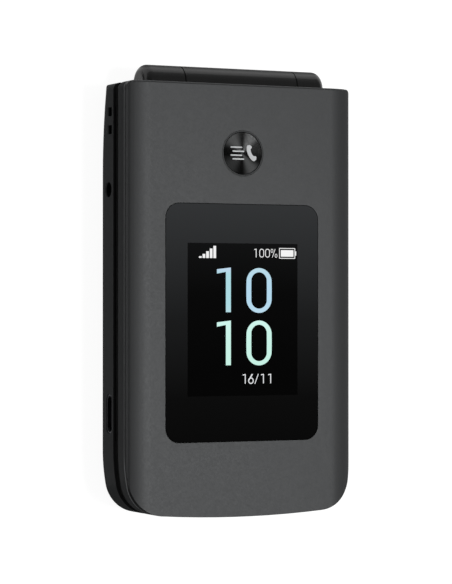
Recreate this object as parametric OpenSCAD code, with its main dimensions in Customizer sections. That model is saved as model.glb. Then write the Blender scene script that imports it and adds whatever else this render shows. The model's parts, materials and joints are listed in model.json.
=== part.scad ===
// Closed flip phone, lying on its back.
// +Z comes out of the lid, +Y points to the hinge, +X is to the right of the lid.
// The origin is the centre of the back face.

/* [Body] */
// Width of the lid and the base
body_w = 57.6; // [56:0.1:62]
// Length of the lid and the base, without the hinge barrel
block_l = 99.5; // [98:0.1:106]
// Height of the base, from its back to the keypad deck
base_h = 10.5; // [10.3:0.1:12]
// Height of the lid, from its inner face to its outer face
lid_h = 7.0; // [7:0.1:8.5]
// Gap between the closed halves
lid_gap = 0.3; // [0.2:0.05:0.5]
// Wall thickness of the housings
wall = 1.3; // [1:0.1:1.6]
// Height of the black bezel on each half
bezel_h = 1.2; // [1:0.1:1.4]
// How far the black bezels stand back from the grey sides
bezel_inset = 0.6; // [0.4:0.1:1]

/* [Outline] */
// Radius of the arc that bows the free end
bow_r = 270; // [220:1:400]
// Radius of the two corners at the free end
corner_r = 8.3; // [7:0.1:9.5]
// Radius of the long arc that leads each side into its corner
ease_r = 45; // [35:1:60]
// Angle that the leading arc turns through
ease_angle = 10; // [6:1:12]
// Radius of the two corners at the hinge end
hinge_corner_r = 1.8; // [1.4:0.1:3]
// Rounding between the back and the sides
back_edge_r = 4; // [3:0.1:4.2]
// Length over which the back rises towards the hinge
taper_l = 21; // [15:0.5:25]
// Radius of that rise
taper_r = 100; // [90:1:160]

/* [Rear cover] */
// Thickness of the cover's skin
cover_skin = 1.1; // [0.9:0.05:1.3]
// Height of the seam between cover and housing
cover_seam = 3.2; // [2.9:0.1:3.6]
// Distance from the hinge end to the cover's end
cover_stop = 4.6; // [4:0.1:6]
// Clearance between cover and housing
cover_clear = 0.15; // [0.1:0.01:0.25]
// Length of each snap tab
tab_l = 4; // [3:0.1:5]
// Number of slots over the loudspeaker
speaker_slots = 5; // [3:1:5]

/* [Lid cover] */
// Height of the rolled edge of the lid's outer cover
roll_h = 2.25; // [2.2:0.05:2.4]
// Small radius of the rolled edge, at the frame
roll_r = 1.4; // [1.2:0.1:1.6]
// Angle at which the rolled edge changes radius
roll_angle = 22; // [18:1:26]
// Thickness of the cover at its middle
front_skin = 1.7; // [1.5:0.05:1.8]
// Height of the seam groove under the cover
groove_h = 0.15; // [0.1:0.05:0.2]
// Depth of that groove
groove_d = 0.5; // [0.3:0.05:0.7]
// Bright chamfer along the frame's upper edge
frame_chamfer = 0.4; // [0.2:0.05:0.6]

/* [Hinge] */
// Radius of the hinge barrel
barrel_r = 4.3; // [4.1:0.1:4.5]
// Distance from each side to the end of the hinge barrel
barrel_inset = 5.6; // [4.8:0.1:6.8]
// Length of the barrel's left knuckle
left_knuckle_l = 10.1; // [9:0.1:11]
// Length of the barrel's right knuckle
right_knuckle_l = 7.5; // [7:0.1:9]
// Gap between knuckles
knuckle_gap = 0.12; // [0.1:0.01:0.2]
// Rounding of the barrel's ends
barrel_end_r = 2; // [1.2:0.1:2.2]
// How far the hinge axis lies inside the end of the halves
axis_inset = 0.1; // [0.1:0.05:0.3]
// Clearance round the knuckles of the other half
barrel_clear = 0.3; // [0.25:0.05:0.4]
// Radius of the hinge cartridge
cartridge_r = 2.9; // [2.6:0.1:3]
// Length of the hinge cartridge
cartridge_l = 16.5; // [12:0.5:17]
// Radius of the turning shaft of the cam head
cam_shaft_r = 1.6; // [1.3:0.1:1.8]
// Outer radius of the hollow bush at the left
bush_r = 2.2; // [2:0.1:2.4]
// Running clearance of the hinge's turning fits
hinge_run = 0.05; // [0.03:0.01:0.08]

/* [Outer display] */
// Distance from each side to the outer window
window_margin = 9.3; // [7.8:0.1:10.3]
// Distance from the hinge end to the outer window
window_end = 27.7; // [25.1:0.1:30.1]
// Corner radius of the outer window
window_r = 3.3; // [2:0.1:5]
// Distance from the free end to the outer window
window_stop = 17.4; // [16:0.1:19]
// Thickness of the outer window
window_t = 1.1; // [0.8:0.05:1.2]
// Edge of the outer window beside the display module
out_edge_side = 2.15; // [2:0.05:3]
// Edge of the outer window above and below the display module
out_edge_end = 3.85; // [3.2:0.05:5.2]
// Thickness of the outer display module
out_disp_t = 1.5; // [1.2:0.05:1.5]

/* [Quick-dial button] */
// Radius of the button
dial_r = 4.8; // [4.2:0.05:5.2]
// Width of the trim ring round it
dial_ring_w = 0.3; // [0.2:0.05:0.5]
// Distance from the hinge end to the button's centre
dial_stop = 15.9; // [14:0.1:17]
// Depth of the button's dish
dial_dish = 0.25; // [0.1:0.05:0.4]

/* [Inner display] */
// Distance from each side to the inner window
in_window_margin = 2.8; // [2.5:0.1:3.8]
// Distance from the hinge end to the inner window
in_window_end = 14.6; // [13.6:0.1:17.6]
// Thickness of the inner window
in_window_t = 0.8; // [0.6:0.05:0.8]
// Distance from the free end to the inner window
in_window_stop = 10.9; // [10.5:0.1:12]
// Edge of the inner window beside the display module
in_border_w = 1; // [0.9:0.05:2]
// Edge of the inner window above and below the display module
in_border_l = 2.4; // [2:0.1:4]
// Thickness of the inner display module
in_disp_t = 2; // [1.6:0.05:2.1]

/* [Keypad] */
// Travel of a key
key_travel = 0.3; // [0.2:0.05:0.3]
// Gap round a key
key_gap = 0.15; // [0.1:0.01:0.2]
// Distance from each side to the number keys
pad_margin = 4.55; // [4.3:0.05:5.3]
// Space between the columns of number keys
pad_column_gap = 1; // [0.9:0.05:1.4]
// Space between the rows of number keys
pad_row_gap = 1.2; // [0.9:0.05:1.6]
// Distance from the free end to the middle of the lowest row
pad_stop = 16.8; // [16:0.1:17]
// Space between the highest number keys and the back key
pad_end = 6.4; // [5.5:0.1:8]
// Distance from each side to the function keys
fun_margin = 4.2; // [3.9:0.1:5]
// Length of a function key
fun_l = 7; // [6:0.1:7.4]
// Space between the rows of function keys
fun_row_gap = 1.3; // [0.9:0.05:1.6]
// Distance from the hinge end to the highest row of function keys
fun_stop = 18.6; // [18:0.1:20]
// Space between the navigation ring and the function keys
nav_space = 2.4; // [2:0.1:3]
// Outer radius of the navigation ring
nav_r = 10.2; // [9.6:0.1:10.6]
// Radius of the OK key
ok_r = 4.8; // [4.2:0.1:5.2]
// Corner radius of the keys
key_corner_r = 1.8; // [1:0.1:2.4]
// Radius of the crown on the keys
key_crown_r = 32; // [25:1:60]

/* [Sockets and side key] */
// Inner length of the USB-C opening
usb_l = 8.34; // [8.3:0.01:8.4]
// Inner height of the USB-C opening
usb_h = 2.56; // [2.5:0.01:2.6]
// Depth of the USB-C socket
usb_depth = 7.3; // [6.5:0.1:7.4]
// Distance from the free end to the USB-C socket
usb_stop = 23.75; // [22:0.05:26]
// Radius of the headphone bore
jack_r = 1.78; // [1.75:0.01:1.8]
// Depth of the headphone bore
jack_depth = 13; // [12:0.1:14]
// Distance from the hinge end to the headphone socket
jack_stop = 24.4; // [24:0.1:25]
// Length of one lanyard slot
lanyard_l = 2.05; // [1.8:0.05:2.3]
// Step between the two lanyard slots
lanyard_step = 4.1; // [4:0.1:4.6]
// Distance from the hinge end to the first lanyard slot
lanyard_stop = 6.6; // [6.4:0.1:7]
// Length of the volume rocker
rocker_l = 20; // [18:0.5:20]
// Distance from the hinge end to the rocker's middle
rocker_stop = 27.6; // [27:0.1:28.5]
// How far the rocker stands out of the side
rocker_out = 0.3; // [0.2:0.05:0.5]
// Tilt of the rocker each way, in degrees
rocker_tilt = 1.5; // [1:0.1:1.5]

/* [Inside] */
// Distance from each side to the battery
battery_margin = 8.6; // [8.5:0.1:9.8]
// Distance from the hinge end to the battery
battery_end = 34.5; // [33.5:0.1:38]
// Distance from the free end to the battery
battery_stop = 7; // [6.5:0.1:8]
// Height between the floor under the main board and the keypad deck
board_room = 2.7; // [2.7:0.05:3.2]
// Thickness of the main board
board_t = 0.8; // [0.6:0.05:0.8]
// Radius of the loudspeaker's rounded ends
speaker_r = 4.6; // [4:0.1:4.8]
// Radius of the camera window
camera_r = 3.2; // [2.6:0.1:3.4]
// Radius of the vibration motor
motor_r = 4; // [3.5:0.1:4.1]

/* [Hidden] */

$fn = 64;
long_arc_fn = 720;      // facets of the preview on arcs of very large radius
fit = 0.02;             // between pieces that are pressed or screwed together
seat = 0.05;            // between pieces that rest on each other
loose = 0.1;            // between a module and its pocket
eps = 0.01;             // cutters run past the faces they cut by this
far = 200;              // larger than the phone

// places along the length
total_l = block_l - axis_inset + barrel_r;
y_bot = -total_l / 2;
y_top = y_bot + block_l;
axis_y = y_top - axis_inset;
cover_end = y_top - cover_stop;
taper_y = y_top - taper_l;

// levels of the base
deck_z = base_h - bezel_h;
insert_t = cover_skin + cover_clear;
edge_step = 0.9;
edge_steps = 6;
step_reach = 6;
back_fn = 48;
back_arc_fn = 240;
rise_steps = 6;
rise_channels = 4;
battery_roof = 0.6;
floor_z = deck_z - board_room;
battery_z = insert_t + cover_clear;
battery_t = floor_z - battery_roof - loose - battery_z;
board_z = floor_z + 0.3;
board_top = board_z + board_t;
film_t = 0.1;
dome_h = 0.15;
dome_r = 1.6;
dome_top = board_top + film_t + dome_h;
key_top = base_h - seat;
key_foot = dome_top + seat + key_travel;
flange_top = deck_z - key_gap;
flange_t = 0.3;

// levels of the lid
lid_z = base_h + lid_gap;
frame_z = lid_z + bezel_h;
top_z = lid_z + lid_h;
cover_z = top_z - roll_h;
frame_top = cover_z - groove_h;
skin_z = top_z - front_skin;
in_disp_z = frame_z + seat;
lid_board_t = 0.6;
out_disp_z = top_z - window_t - loose - out_disp_t;
lid_board_z = out_disp_z - seat - lid_board_t;
axis_z = base_h + lid_gap / 2;

// centres of the outline's arcs
corner_x = body_w / 2 - ease_r + (ease_r - corner_r) * cos(ease_angle);
bow_y = y_bot + bow_r;
corner_y = bow_y - sqrt(pow(bow_r - corner_r, 2) - pow(corner_x, 2));
ease_x = body_w / 2 - ease_r;
ease_y = corner_y + (ease_r - corner_r) * sin(ease_angle);

// hinge stations along the width
barrel_x = body_w / 2 - barrel_inset;
left_seam = -barrel_x + left_knuckle_l;
right_seam = barrel_x - right_knuckle_l;
barrel_side = 0.3;
cartridge_x = right_seam - knuckle_gap - cartridge_l;
socket_l = 4.6;
bearing_l = 4;

// keypad places
pad_w = (body_w - 2 * pad_margin - 2 * pad_column_gap) / 3;
pad_step_x = pad_w + pad_column_gap;
pad_y = y_bot + pad_stop;
fun_w = body_w / 2 - fun_margin - nav_r - nav_space;
fun_x = body_w / 2 - fun_margin - fun_w / 2;
fun_step = fun_l + fun_row_gap;
fun_y = y_top - fun_stop;
nav_y = fun_y - fun_step;
nav_web = 1.5;
back_space = 2.2;
back_l = 5.4;
back_y = nav_y - nav_r - back_space - back_l / 2;
pad_top = back_y - back_l / 2 - pad_end;
pad_step_y = (pad_top - pad_y + pad_row_gap / 2) / 3.5;
pad_l = pad_step_y - pad_row_gap;
key_lip = 0.35;
key_foot_r = 1.1;
num_keys = [["key_star", 0, 0], ["key_0", 1, 0], ["key_hash", 2, 0],
            ["key_7", 0, 1], ["key_8", 1, 1], ["key_9", 2, 1],
            ["key_4", 0, 2], ["key_5", 1, 2], ["key_6", 2, 2],
            ["key_1", 0, 3], ["key_2", 1, 3], ["key_3", 2, 3]];
function num_place(col, row) = [(col - 1) * pad_step_x, pad_y + row * pad_step_y];
function fun_place(side, row) = [side * fun_x, fun_y - row * fun_step];

// sockets and side key
usb_shell = 0.3;
usb_y = y_bot + usb_stop;
usb_z = floor_z + 0.25;
jack_y = y_top - jack_stop;
jack_drop = 2.85;
jack_z = deck_z - jack_drop;
jack_case = [jack_depth - wall + 0.6, 6, 4.2];
jack_case_z = jack_z + jack_r + 0.2 - jack_case[2];
lanyard_y = y_top - lanyard_stop;
lanyard_h = 2.3;
lanyard_drop = 2.1;
lanyard_z = deck_z - lanyard_drop;
lanyard_block = [3.6, lanyard_step + 6];
lanyard_mid = lanyard_y - lanyard_step / 2;
room_gap = 0.4;
jack_clear = jack_case[1] / 2 + room_gap + dome_r + loose;
rocker_y = y_top - rocker_stop;
rocker_h = 2.9;
rocker_drop = 2.9;
rocker_z = deck_z - rocker_drop;
side_x = body_w / 2;
inner_x = side_x - wall;
rocker_play = 0.2;
rocker_depth = 1.5;
rocker_wall = 0.7;
rocker_foot_y = 6.5;
rocker_foot_r = 0.8;
switch_size = [0.5, 3.4, 2.4];
switch_x = inner_x - rocker_depth + switch_size[0];
rocker_foot_x = switch_x + (rocker_foot_y + rocker_foot_r) * sin(rocker_tilt) + seat;
collar = [0.5, 7, 3.6];
collar_x = inner_x - collar[0] / 2 - collar[1] / 2 * sin(rocker_tilt) - seat;

// places inside the base
cavity_end = y_top - 6;
battery_y = y_bot + battery_stop;
battery_w = body_w - 2 * battery_margin;
battery_l = block_l - battery_stop - battery_end;
contacts = [11, 2.2, 3.4];
contacts_edge = 8.2;
contacts_x = battery_w / 2 - contacts_edge;
contacts_y = battery_y + battery_l + 0.3;
contacts_z = battery_z + 0.4;
pocket_gap = 0.2;
camera_stop = 11.6;
camera_at = [0, y_top - camera_stop];
camera_roof = 0.5;
camera_body = [8.5, 8.5, floor_z - camera_roof - camera_z() - loose];
camera_ring_w = 0.9;
flash_r = 1.5;
flash_at = [camera_at[0] + 8.2, camera_at[1]];
// the card holder fills the space between headphone socket, contacts and camera
sim_left = 1.7;
sim_right = 0.3;
sim_below = 1.2;
sim_above = 1.95;
speaker_low = flash_at[0] + flash_r + 0.5;
speaker_high = side_x - 4.6;
sim_low = [-inner_x + jack_case[0] + sim_left, contacts_y + contacts[1] + sim_below];
sim_high = [speaker_low + sim_right, camera_at[1] - camera_body[1] / 2 - sim_above];
sim = [sim_high[0] - sim_low[0], sim_high[1] - sim_low[1], 1.4];
sim_at = (sim_low + sim_high) / 2;
sim_z = floor_z - 0.9 - sim[2];
speaker_at = [(speaker_low + speaker_high) / 2, y_top - 14.6];
speaker_w = speaker_high - speaker_low;
speaker_t = 3;
motor_at = [9.6 - side_x, y_top - 14];
motor_t = 2.7;
mic = [4, 3, 1.1];
mic_y = y_bot + 5.6;
antenna_side = 12.8;
antenna_size = [body_w - 2 * antenna_side, 3.4, 0.2];
board_inset = 3.8;
board_stop = 10;
board_end = y_top - board_stop;
tab_stops = [12, 38, 57.5];
last_tab_stop = 11.5;
tab_places = [for (i = [0 : 3]) i < 3 ? y_bot + tab_stops[i] : y_top - last_tab_stop];
tab_t = 0.8;
tab_h = 1.4;

// screws
screw_r = 0.7;
screw_head_r = 1.3;
screw_head_h = 0.7;
boss_r = 1.7;
base_head_z = cover_seam - 0.5;
base_screws_top = [side_x - 7.3, y_top - 8.2];
base_screws_low = [side_x - 6.2, y_bot + 7.6];
base_screw_places = both_sides(base_screws_top, base_screws_low);
bumper_r = 1.8;
bumper_t = 0.5;
in_window_w = body_w - 2 * in_window_margin;
lid_screws_top = [in_window_w / 2 - bumper_r, y_top - 9.2];
lid_screws_low = [in_window_w / 2 - bumper_r - 1, y_bot + 8];
lid_screw_places = both_sides(lid_screws_top, lid_screws_low);
function both_sides(a, b) = [a, [-a[0], a[1]], b, [-b[0], b[1]]];

// places inside the lid
window_w = body_w - 2 * window_margin;
window_l = block_l - window_stop - window_end;
window_y = y_bot + window_stop + window_l / 2;
out_disp_w = window_w - 2 * out_edge_side;
out_disp_l = window_l - 2 * out_edge_end;
dial_y = y_top - dial_stop;
in_window_l = block_l - in_window_stop - in_window_end;
in_window_y = y_bot + in_window_stop + in_window_l / 2;
in_disp_w = in_window_w - 2 * in_border_w;
in_disp_l = in_window_l - 2 * in_border_l;
lid_board_stop = 11;
ear_y = y_bot + 6.4;
ear = [12, 6, 2.3];
ear_slot = [11, 1.3];
rim_t = 0.8;

// ---------------------------------------------------------------- shared shapes

// Plan of both halves, drawn t inside the real edge. Its arcs stay concentric.
module outline(t = 0, arc_fn = long_arc_fn) {
    half = body_w / 2 - t;
    bow_x = corner_x * (bow_r - t) / (bow_r - corner_r);
    foot = corner_y - (corner_r - t) * sin(ease_angle);
    intersection() {
        translate([0, bow_y]) circle(bow_r - t, $fn = arc_fn);
        translate([-bow_x, y_bot]) square([2 * bow_x, ease_y - y_bot]);
    }
    for (s = [-1, 1]) translate([s * corner_x, corner_y]) circle(corner_r - t);
    intersection() {
        translate([-half, foot]) square([2 * half, ease_y - foot]);
        for (s = [0, 1]) mirror([s, 0]) intersection() {
            translate([ease_x, ease_y]) circle(ease_r - t, $fn = arc_fn);
            translate([0, foot]) square([half, ease_y - foot]);
        }
    }
    hinge_end(t, ease_y);
}

module slab(t, z0, z1) {
    translate([0, 0, z0]) linear_extrude(z1 - z0) outline(t);
}

// Ring between two insets of the outline
module ring_slab(t0, t1, z0, z1) {
    difference() {
        slab(t0, z0, z1);
        slab(t1, z0 - eps, z1 + eps);
    }
}

// Lower part of the base up to a height, with its back rounded all round: slices of the plan up to
// the rise, then sections across the width that climb with it
module soft_back(top) {
    reach = cover_end + 1 - taper_y;
    hull() {
        for (i = [0 : edge_steps]) {
            a = acos(1 - min(1, top / back_edge_r)) * i / edge_steps;
            z = min(back_edge_r * (1 - cos(a)), top - eps);
            translate([0, 0, z]) linear_extrude(eps) intersection() {
                outline(back_edge_r * (1 - sin(a)), back_arc_fn, $fn = back_fn);
                translate([-far, -far]) square([2 * far, far + taper_y]);
            }
        }
        for (i = [0 : rise_steps]) {
            y = taper_y + reach * i / rise_steps;
            translate([0, y, back_z(y)]) rotate([90, 0, 0]) linear_extrude(eps)
                back_section(body_w / 2, back_edge_r, top - back_z(y), $fn = back_fn);
        }
    }
}

// Channel with rounded lower edges, whose floor touches the back's rise at one place
module rise_channel(i) {
    y = taper_y + taper_l * (i + 0.5) / rise_channels;
    translate([0, y, back_z(y)]) rotate([90 + asin((y - taper_y) / taper_r), 0, 0])
        linear_extrude(far, center = true) back_section(body_w / 2 + eps, back_edge_r, far);
}

// Everything above the back's rise, with the rounding of its sides
module back_rise() {
    intersection() {
        rise_channel(0);
        rise_channel(1);
        rise_channel(2);
        rise_channel(3);
    }
}

// Everything above the same rise, drawn t inside, without the rounding
module room_rise(t) {
    rotate([90, 0, 90]) linear_extrude(far, center = true) {
        translate([y_bot - 1, 0]) square([taper_y - y_bot + 1, base_h + 1]);
        intersection() {
            translate([taper_y, taper_r]) circle(taper_r - t, $fn = long_arc_fn);
            translate([taper_y, 0]) square([taper_l + 1, base_h + 1]);
        }
    }
}

// Plan of the halves from a place along the length to the hinge end, drawn t inside
module hinge_end(t, y0) {
    half = body_w / 2 - t;
    top = y_top - t;
    r = max(hinge_corner_r - t, 0.2);
    translate([-half, y0]) square([2 * half, top - r - y0]);
    translate([-half + r, y0]) square([2 * (half - r), top - y0]);
    for (s = [-1, 1]) translate([s * (half - r), top - r]) circle(r);
}

// Section of the base across its width: two rounded lower corners
module back_section(half, edge, h) {
    translate([-half, edge]) square([2 * half, h - edge]);
    translate([-half + edge, 0]) square([2 * (half - edge), h]);
    for (s = [-1, 1]) translate([s * (half - edge), edge]) circle(edge);
}

// Part of the space between two heights, and optionally between two lengths
module between(z0, z1, y0 = -far, y1 = far) {
    translate([-far, y0, z0]) cube([2 * far, y1 - y0, z1 - z0]);
}

module round_rect(size, r) {
    translate([-size[0] / 2 + r, -size[1] / 2]) square([size[0] - 2 * r, size[1]]);
    translate([-size[0] / 2, -size[1] / 2 + r]) square([size[0], size[1] - 2 * r]);
    for (x = [-1, 1], y = [-1, 1])
        translate([x * (size[0] / 2 - r), y * (size[1] / 2 - r)]) circle(r);
}

module round_plate(at, size, r, z0, z1) {
    translate([at[0], at[1], z0]) linear_extrude(z1 - z0) round_rect(size, r);
}

// Box given by its centre in plan, its size and its lower level
module block(at, size, z) {
    translate([at[0] - size[0] / 2, at[1] - size[1] / 2, z]) cube(size);
}

module post(at, r, z0, z1) {
    translate([at[0], at[1], z0]) cylinder(r = r, h = z1 - z0);
}

// ---------------------------------------------------------------- hinge shapes

// Cylinder along X on the hinge axis
module on_axis(r, x0, x1) {
    translate([x0, axis_y, axis_z]) rotate([0, 90, 0]) cylinder(r = r, h = x1 - x0);
}

// Stretch of the barrel with its rounded ends
module barrel(x0, x1) {
    intersection() {
        translate([0, axis_y, axis_z]) rotate([0, 90, 0]) rotate_extrude() barrel_profile();
        translate([x0, -far, -far]) cube([x1 - x0, 2 * far, 2 * far]);
    }
}

// Half section of the whole barrel
module barrel_profile() {
    r = barrel_r - barrel_end_r;
    x = barrel_x - barrel_end_r;
    translate([0, -barrel_x]) square([r, 2 * barrel_x]);
    translate([0, -x]) square([barrel_r, 2 * x]);
    for (s = [-1, 1]) translate([r, s * x]) circle(barrel_end_r);
}

// Room that the other half's knuckles need
module knuckle_room(x0, x1) {
    on_axis(barrel_r + barrel_clear, x0, x1);
}

module outer_knuckle_rooms() {
    knuckle_room(-barrel_x - barrel_side, left_seam + knuckle_gap);
    knuckle_room(right_seam - knuckle_gap, barrel_x + barrel_side);
}

module middle_knuckle_room() {
    knuckle_room(left_seam - knuckle_gap, right_seam + knuckle_gap);
}

// ---------------------------------------------------------------- base

module rear_cover() {
    color("#2b2d2e") {
        difference() {
            intersection() {
                soft_back(cover_seam - seat);
                between(-eps, cover_seam, -far, cover_end);
            }
            cover_room(0);
            post(camera_at, camera_r + camera_ring_w + loose, -1, cover_seam);
            post(flash_at, flash_r + loose, -1, cover_seam);
            speaker_slots_cut();
        }
        for (y = tab_places, s = [-1, 1]) snap_tab(s, y, 0);
    }
}

// Inside of the cover, in two steps that follow its rounded edge, drawn gap smaller
module cover_room(gap) {
    t = cover_skin + gap;
    intersection() {
        union() {
            slab(t + edge_step, t, cover_seam + eps);
            intersection() {
                slab(t, t + edge_step + 0.2, cover_seam + eps);
                between(0, base_h, -far, taper_y + step_reach - gap);
            }
        }
        room_rise(t);
    }
}

// Tab that stands on the cover's floor edge and reaches into a slot of the housing
module snap_tab(side, y, gap) {
    x = side * (inner_x - tab_t / 2 - 0.15);
    foot = cover_skin + 0.95;
    block([x, y], [tab_t + 2 * gap, tab_l + 2 * gap, cover_seam + tab_h + gap - foot], foot);
    if (gap == 0)
        block([side * (inner_x + 0.15), y], [0.6, tab_l, cover_seam - seat - foot], foot);
}

module speaker_slots_cut() {
    pitch = 2;
    for (i = [0 : speaker_slots - 1]) {
        x = speaker_at[0] + (i - (speaker_slots - 1) / 2) * pitch;
        round_plate([x, speaker_at[1]], [0.9, 6], 0.44, -1, cover_seam);
    }
}

module base_rear_housing() {
    color("#27292a") difference() {
        union() {
            intersection() {
                slab(0, cover_seam, deck_z);
                back_rise();
            }
            intersection() {
                linear_extrude(cover_seam + eps) hinge_end(0, cover_end + loose);
                back_rise();
            }
            cover_room(cover_clear);
        }
        // the board's side
        difference() {
            intersection() {
                slab(wall, floor_z, base_h);
                between(0, base_h, -far, cavity_end);
            }
            lanyard_room();
            rocker_block(0, rocker_z + rocker_h / 2 + 1.3);
        }
        // the battery's side
        pocket([0, battery_y + battery_l / 2], [battery_w, battery_l], battery_z + battery_t);
        pocket([contacts_x, contacts_y + contacts[1] / 2], contacts, contacts_z + contacts[2]);
        pocket(sim_at, sim, sim_z + sim[2]);
        pocket(camera_at, camera_body, camera_z() + loose + camera_body[2], camera_z());
        post(camera_at, camera_r + camera_ring_w + fit, -1, base_h / 2);
        post(flash_at, flash_r + fit, -1, board_z);
        speaker_shape(loose, back_z(speaker_at[1]) + insert_t - 1, speaker_z() + speaker_t + loose);
        post(motor_at, motor_r + loose, 0, motor_z() + motor_t + loose);
        // the sides
        usb_room();
        translate([-side_x - 1, jack_y, jack_z]) rotate([0, 90, 0]) cylinder(r = jack_r, h = jack_depth);
        translate([-inner_x, jack_y - jack_case[1] / 2 - loose, jack_case_z - loose])
            cube([jack_case[0] + 2 * loose, jack_case[1] + 2 * loose, far]);
        lanyard_eyelet();
        rocker_room();
        for (y = tab_places, s = [-1, 1]) translate([0, 0, -1]) snap_tab_slot(s, y);
        // the hinge end
        middle_knuckle_room();
        translate([-barrel_x - barrel_side, 0, 0]) web_room(left_knuckle_l + barrel_side + knuckle_gap);
        translate([right_seam - knuckle_gap, 0, 0]) web_room(right_knuckle_l + barrel_side + knuckle_gap);
        on_axis(barrel_r + seat, -barrel_x - barrel_side, left_seam + knuckle_gap);
        on_axis(barrel_r + seat, right_seam - knuckle_gap, barrel_x + barrel_side);
        for (p = base_screw_places) {
            post(p, screw_r + loose, 0, floor_z + 1);
            post(p, screw_head_r + loose, 0, base_head_z + screw_head_h);
        }
    }
}

// Height of the back at a place along the length
function back_z(y) = y > taper_y ? taper_r - sqrt(pow(taper_r, 2) - pow(y - taper_y, 2)) : 0;
function camera_z() = back_z(camera_at[1]) + insert_t + 0.9;
function speaker_z() = back_z(speaker_at[1]) + insert_t + 0.3;
function motor_z() = back_z(motor_at[1]) + insert_t + 0.6;

// Pocket that opens to the back, for a module of a size in plan whose upper level is top
module pocket(at, size, top, z = 0) {
    block(at, [size[0] + 2 * pocket_gap, size[1] + 2 * pocket_gap, top + loose - z], z);
}

module snap_tab_slot(side, y) {
    snap_tab(side, y, cover_clear + 0.05);
    translate([0, 0, 1]) snap_tab(side, y, cover_clear + 0.05);
}

module speaker_shape(gap, z0, z1) {
    round_plate(speaker_at, [speaker_w + 2 * gap, 2 * (speaker_r + gap)], speaker_r + gap - eps, z0, z1);
}

// Room for the web that joins an outer knuckle to the keypad deck
module web_room(l) {
    translate([0, axis_y - barrel_r - seat, board_z]) cube([l, barrel_r + 1, base_h]);
}

// Room from the left side inwards, given by its middle, its length, its depth behind the wall
module left_room(y, l, depth, top) {
    translate([-side_x, y - l / 2, 0]) cube([wall + depth, l, top]);
}

module lanyard_room() {
    left_room(lanyard_mid, lanyard_block[1], lanyard_block[0], base_h);
}

// What the board, the dome film and the deck's rim keep free over the sockets and the lanyard slots
module socket_rooms(top) {
    gap = room_gap;
    left_room(usb_y, usb_l + 2 * (usb_shell + gap), usb_depth - wall + gap, top);
    left_room(jack_y, jack_case[1] + 2 * gap, jack_case[0] + gap, top);
    left_room(lanyard_mid, lanyard_block[1] + gap, lanyard_block[0] + gap / 2, top);
}

// Two slots in the side wall, joined by a channel behind the post between them
module lanyard_eyelet() {
    for (i = [0, 1])
        translate([-side_x - 1, lanyard_y - i * lanyard_step - lanyard_l / 2, lanyard_z - lanyard_h / 2])
            cube([wall + 1 + eps, lanyard_l, lanyard_h]);
    translate([-inner_x, lanyard_y - lanyard_step - lanyard_l / 2, lanyard_z - lanyard_h / 2])
        cube([2, lanyard_step + lanyard_l, lanyard_h]);
}

// Block behind the rocker, drawn gap larger
module rocker_block(gap, top) {
    d = rocker_depth + rocker_wall + gap;
    translate([inner_x - d, rocker_y - rocker_l / 2 - 1.2 - gap, 0])
        cube([d + eps, rocker_l + 2.4 + 2 * gap, top]);
}

// Hole of the USB-C socket through the side wall, with its rounded ends
module usb_profile(grow, x0, x1) {
    h = usb_h + 2 * grow;
    translate([x0, usb_y, usb_z]) rotate([90, 0, 90]) linear_extrude(x1 - x0)
        round_rect([usb_l + 2 * grow, h], h / 2 - eps);
}

module usb_room() {
    usb_profile(usb_shell + loose, -side_x - 1, -side_x + usb_depth + 0.4);
    translate([-inner_x, usb_y - usb_l / 2 - usb_shell - loose, usb_z])
        cube([usb_depth, usb_l + 2 * (usb_shell + loose), base_h]);
}

module rocker_room() {
    h = collar[2] + 3 * rocker_play;
    translate([inner_x - rocker_depth, rocker_y - rocker_l / 2 - 3 * rocker_play, rocker_z - h / 2])
        cube([rocker_depth, rocker_l + 6 * rocker_play, h]);
    rocker_plate(rocker_play, inner_x - eps, side_x + 1);
}

// Rounded plate of the rocker, drawn grow larger
module rocker_plate(grow, x0, x1) {
    translate([x0, rocker_y, rocker_z]) rotate([90, 0, 90]) linear_extrude(x1 - x0)
        round_rect([rocker_l + 2 * grow, rocker_h + 2 * grow], rocker_h / 2 - 0.05 + grow);
}

module base_front_housing() {
    color("#1a1b1c") difference() {
        union() {
            slab(bezel_inset, deck_z, base_h);
            intersection() {
                ring_slab(wall + seat, wall + seat + rim_t, deck_z - 0.8, deck_z + eps);
                between(0, base_h, -far, cavity_end - 0.2);
            }
            barrel(-barrel_x, left_seam);
            barrel(right_seam, barrel_x);
            knuckle_web(-barrel_x + barrel_end_r, left_seam);
            knuckle_web(right_seam, barrel_x - barrel_end_r);
            for (p = base_screw_places) post(p, boss_r, floor_z + fit, deck_z + eps);
        }
        middle_knuckle_room();
        for (p = base_screw_places) post(p, screw_r + fit, 0, deck_z - 0.1);
        for (k = num_keys) key_hole(num_place(k[1], k[2]), [pad_w, pad_l]);
        for (s = [-1, 1], row = [0 : 2]) key_hole(fun_place(s, row), [fun_w, fun_l]);
        key_hole([0, back_y], [fun_w, back_l]);
        post([0, nav_y], nav_r + key_gap, 0, far);
        post([0, mic_y], 0.5, 0, far);
        // the rim leaves room for the sockets, the lanyard slots and the rocker
        socket_rooms(deck_z);
        rocker_block(loose, deck_z);
        // sockets of the hinge
        on_axis(bush_r + fit, left_seam - socket_l, left_seam + eps);
        on_axis(1.2, left_seam - socket_l - 2, left_seam + eps);
        translate([right_seam - eps, axis_y, axis_z])
            block_on_axis(socket_l, 2 * cam_shaft_r + 2 * fit);
    }
}

// Square bar along X on the hinge axis, placed from its left end
module block_on_axis(l, w) {
    translate([0, -w / 2, -w / 2]) cube([l, w, w]);
}

module knuckle_web(x0, x1) {
    translate([x0, axis_y - barrel_r, board_z + 0.1])
        cube([x1 - x0, barrel_r - 0.4, base_h - board_z - 0.1]);
}

module key_hole(at, size) {
    round_plate(at, [size[0] + 2 * key_gap, size[1] + 2 * key_gap], key_corner_r + key_gap, deck_z - 1, far);
}

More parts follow.
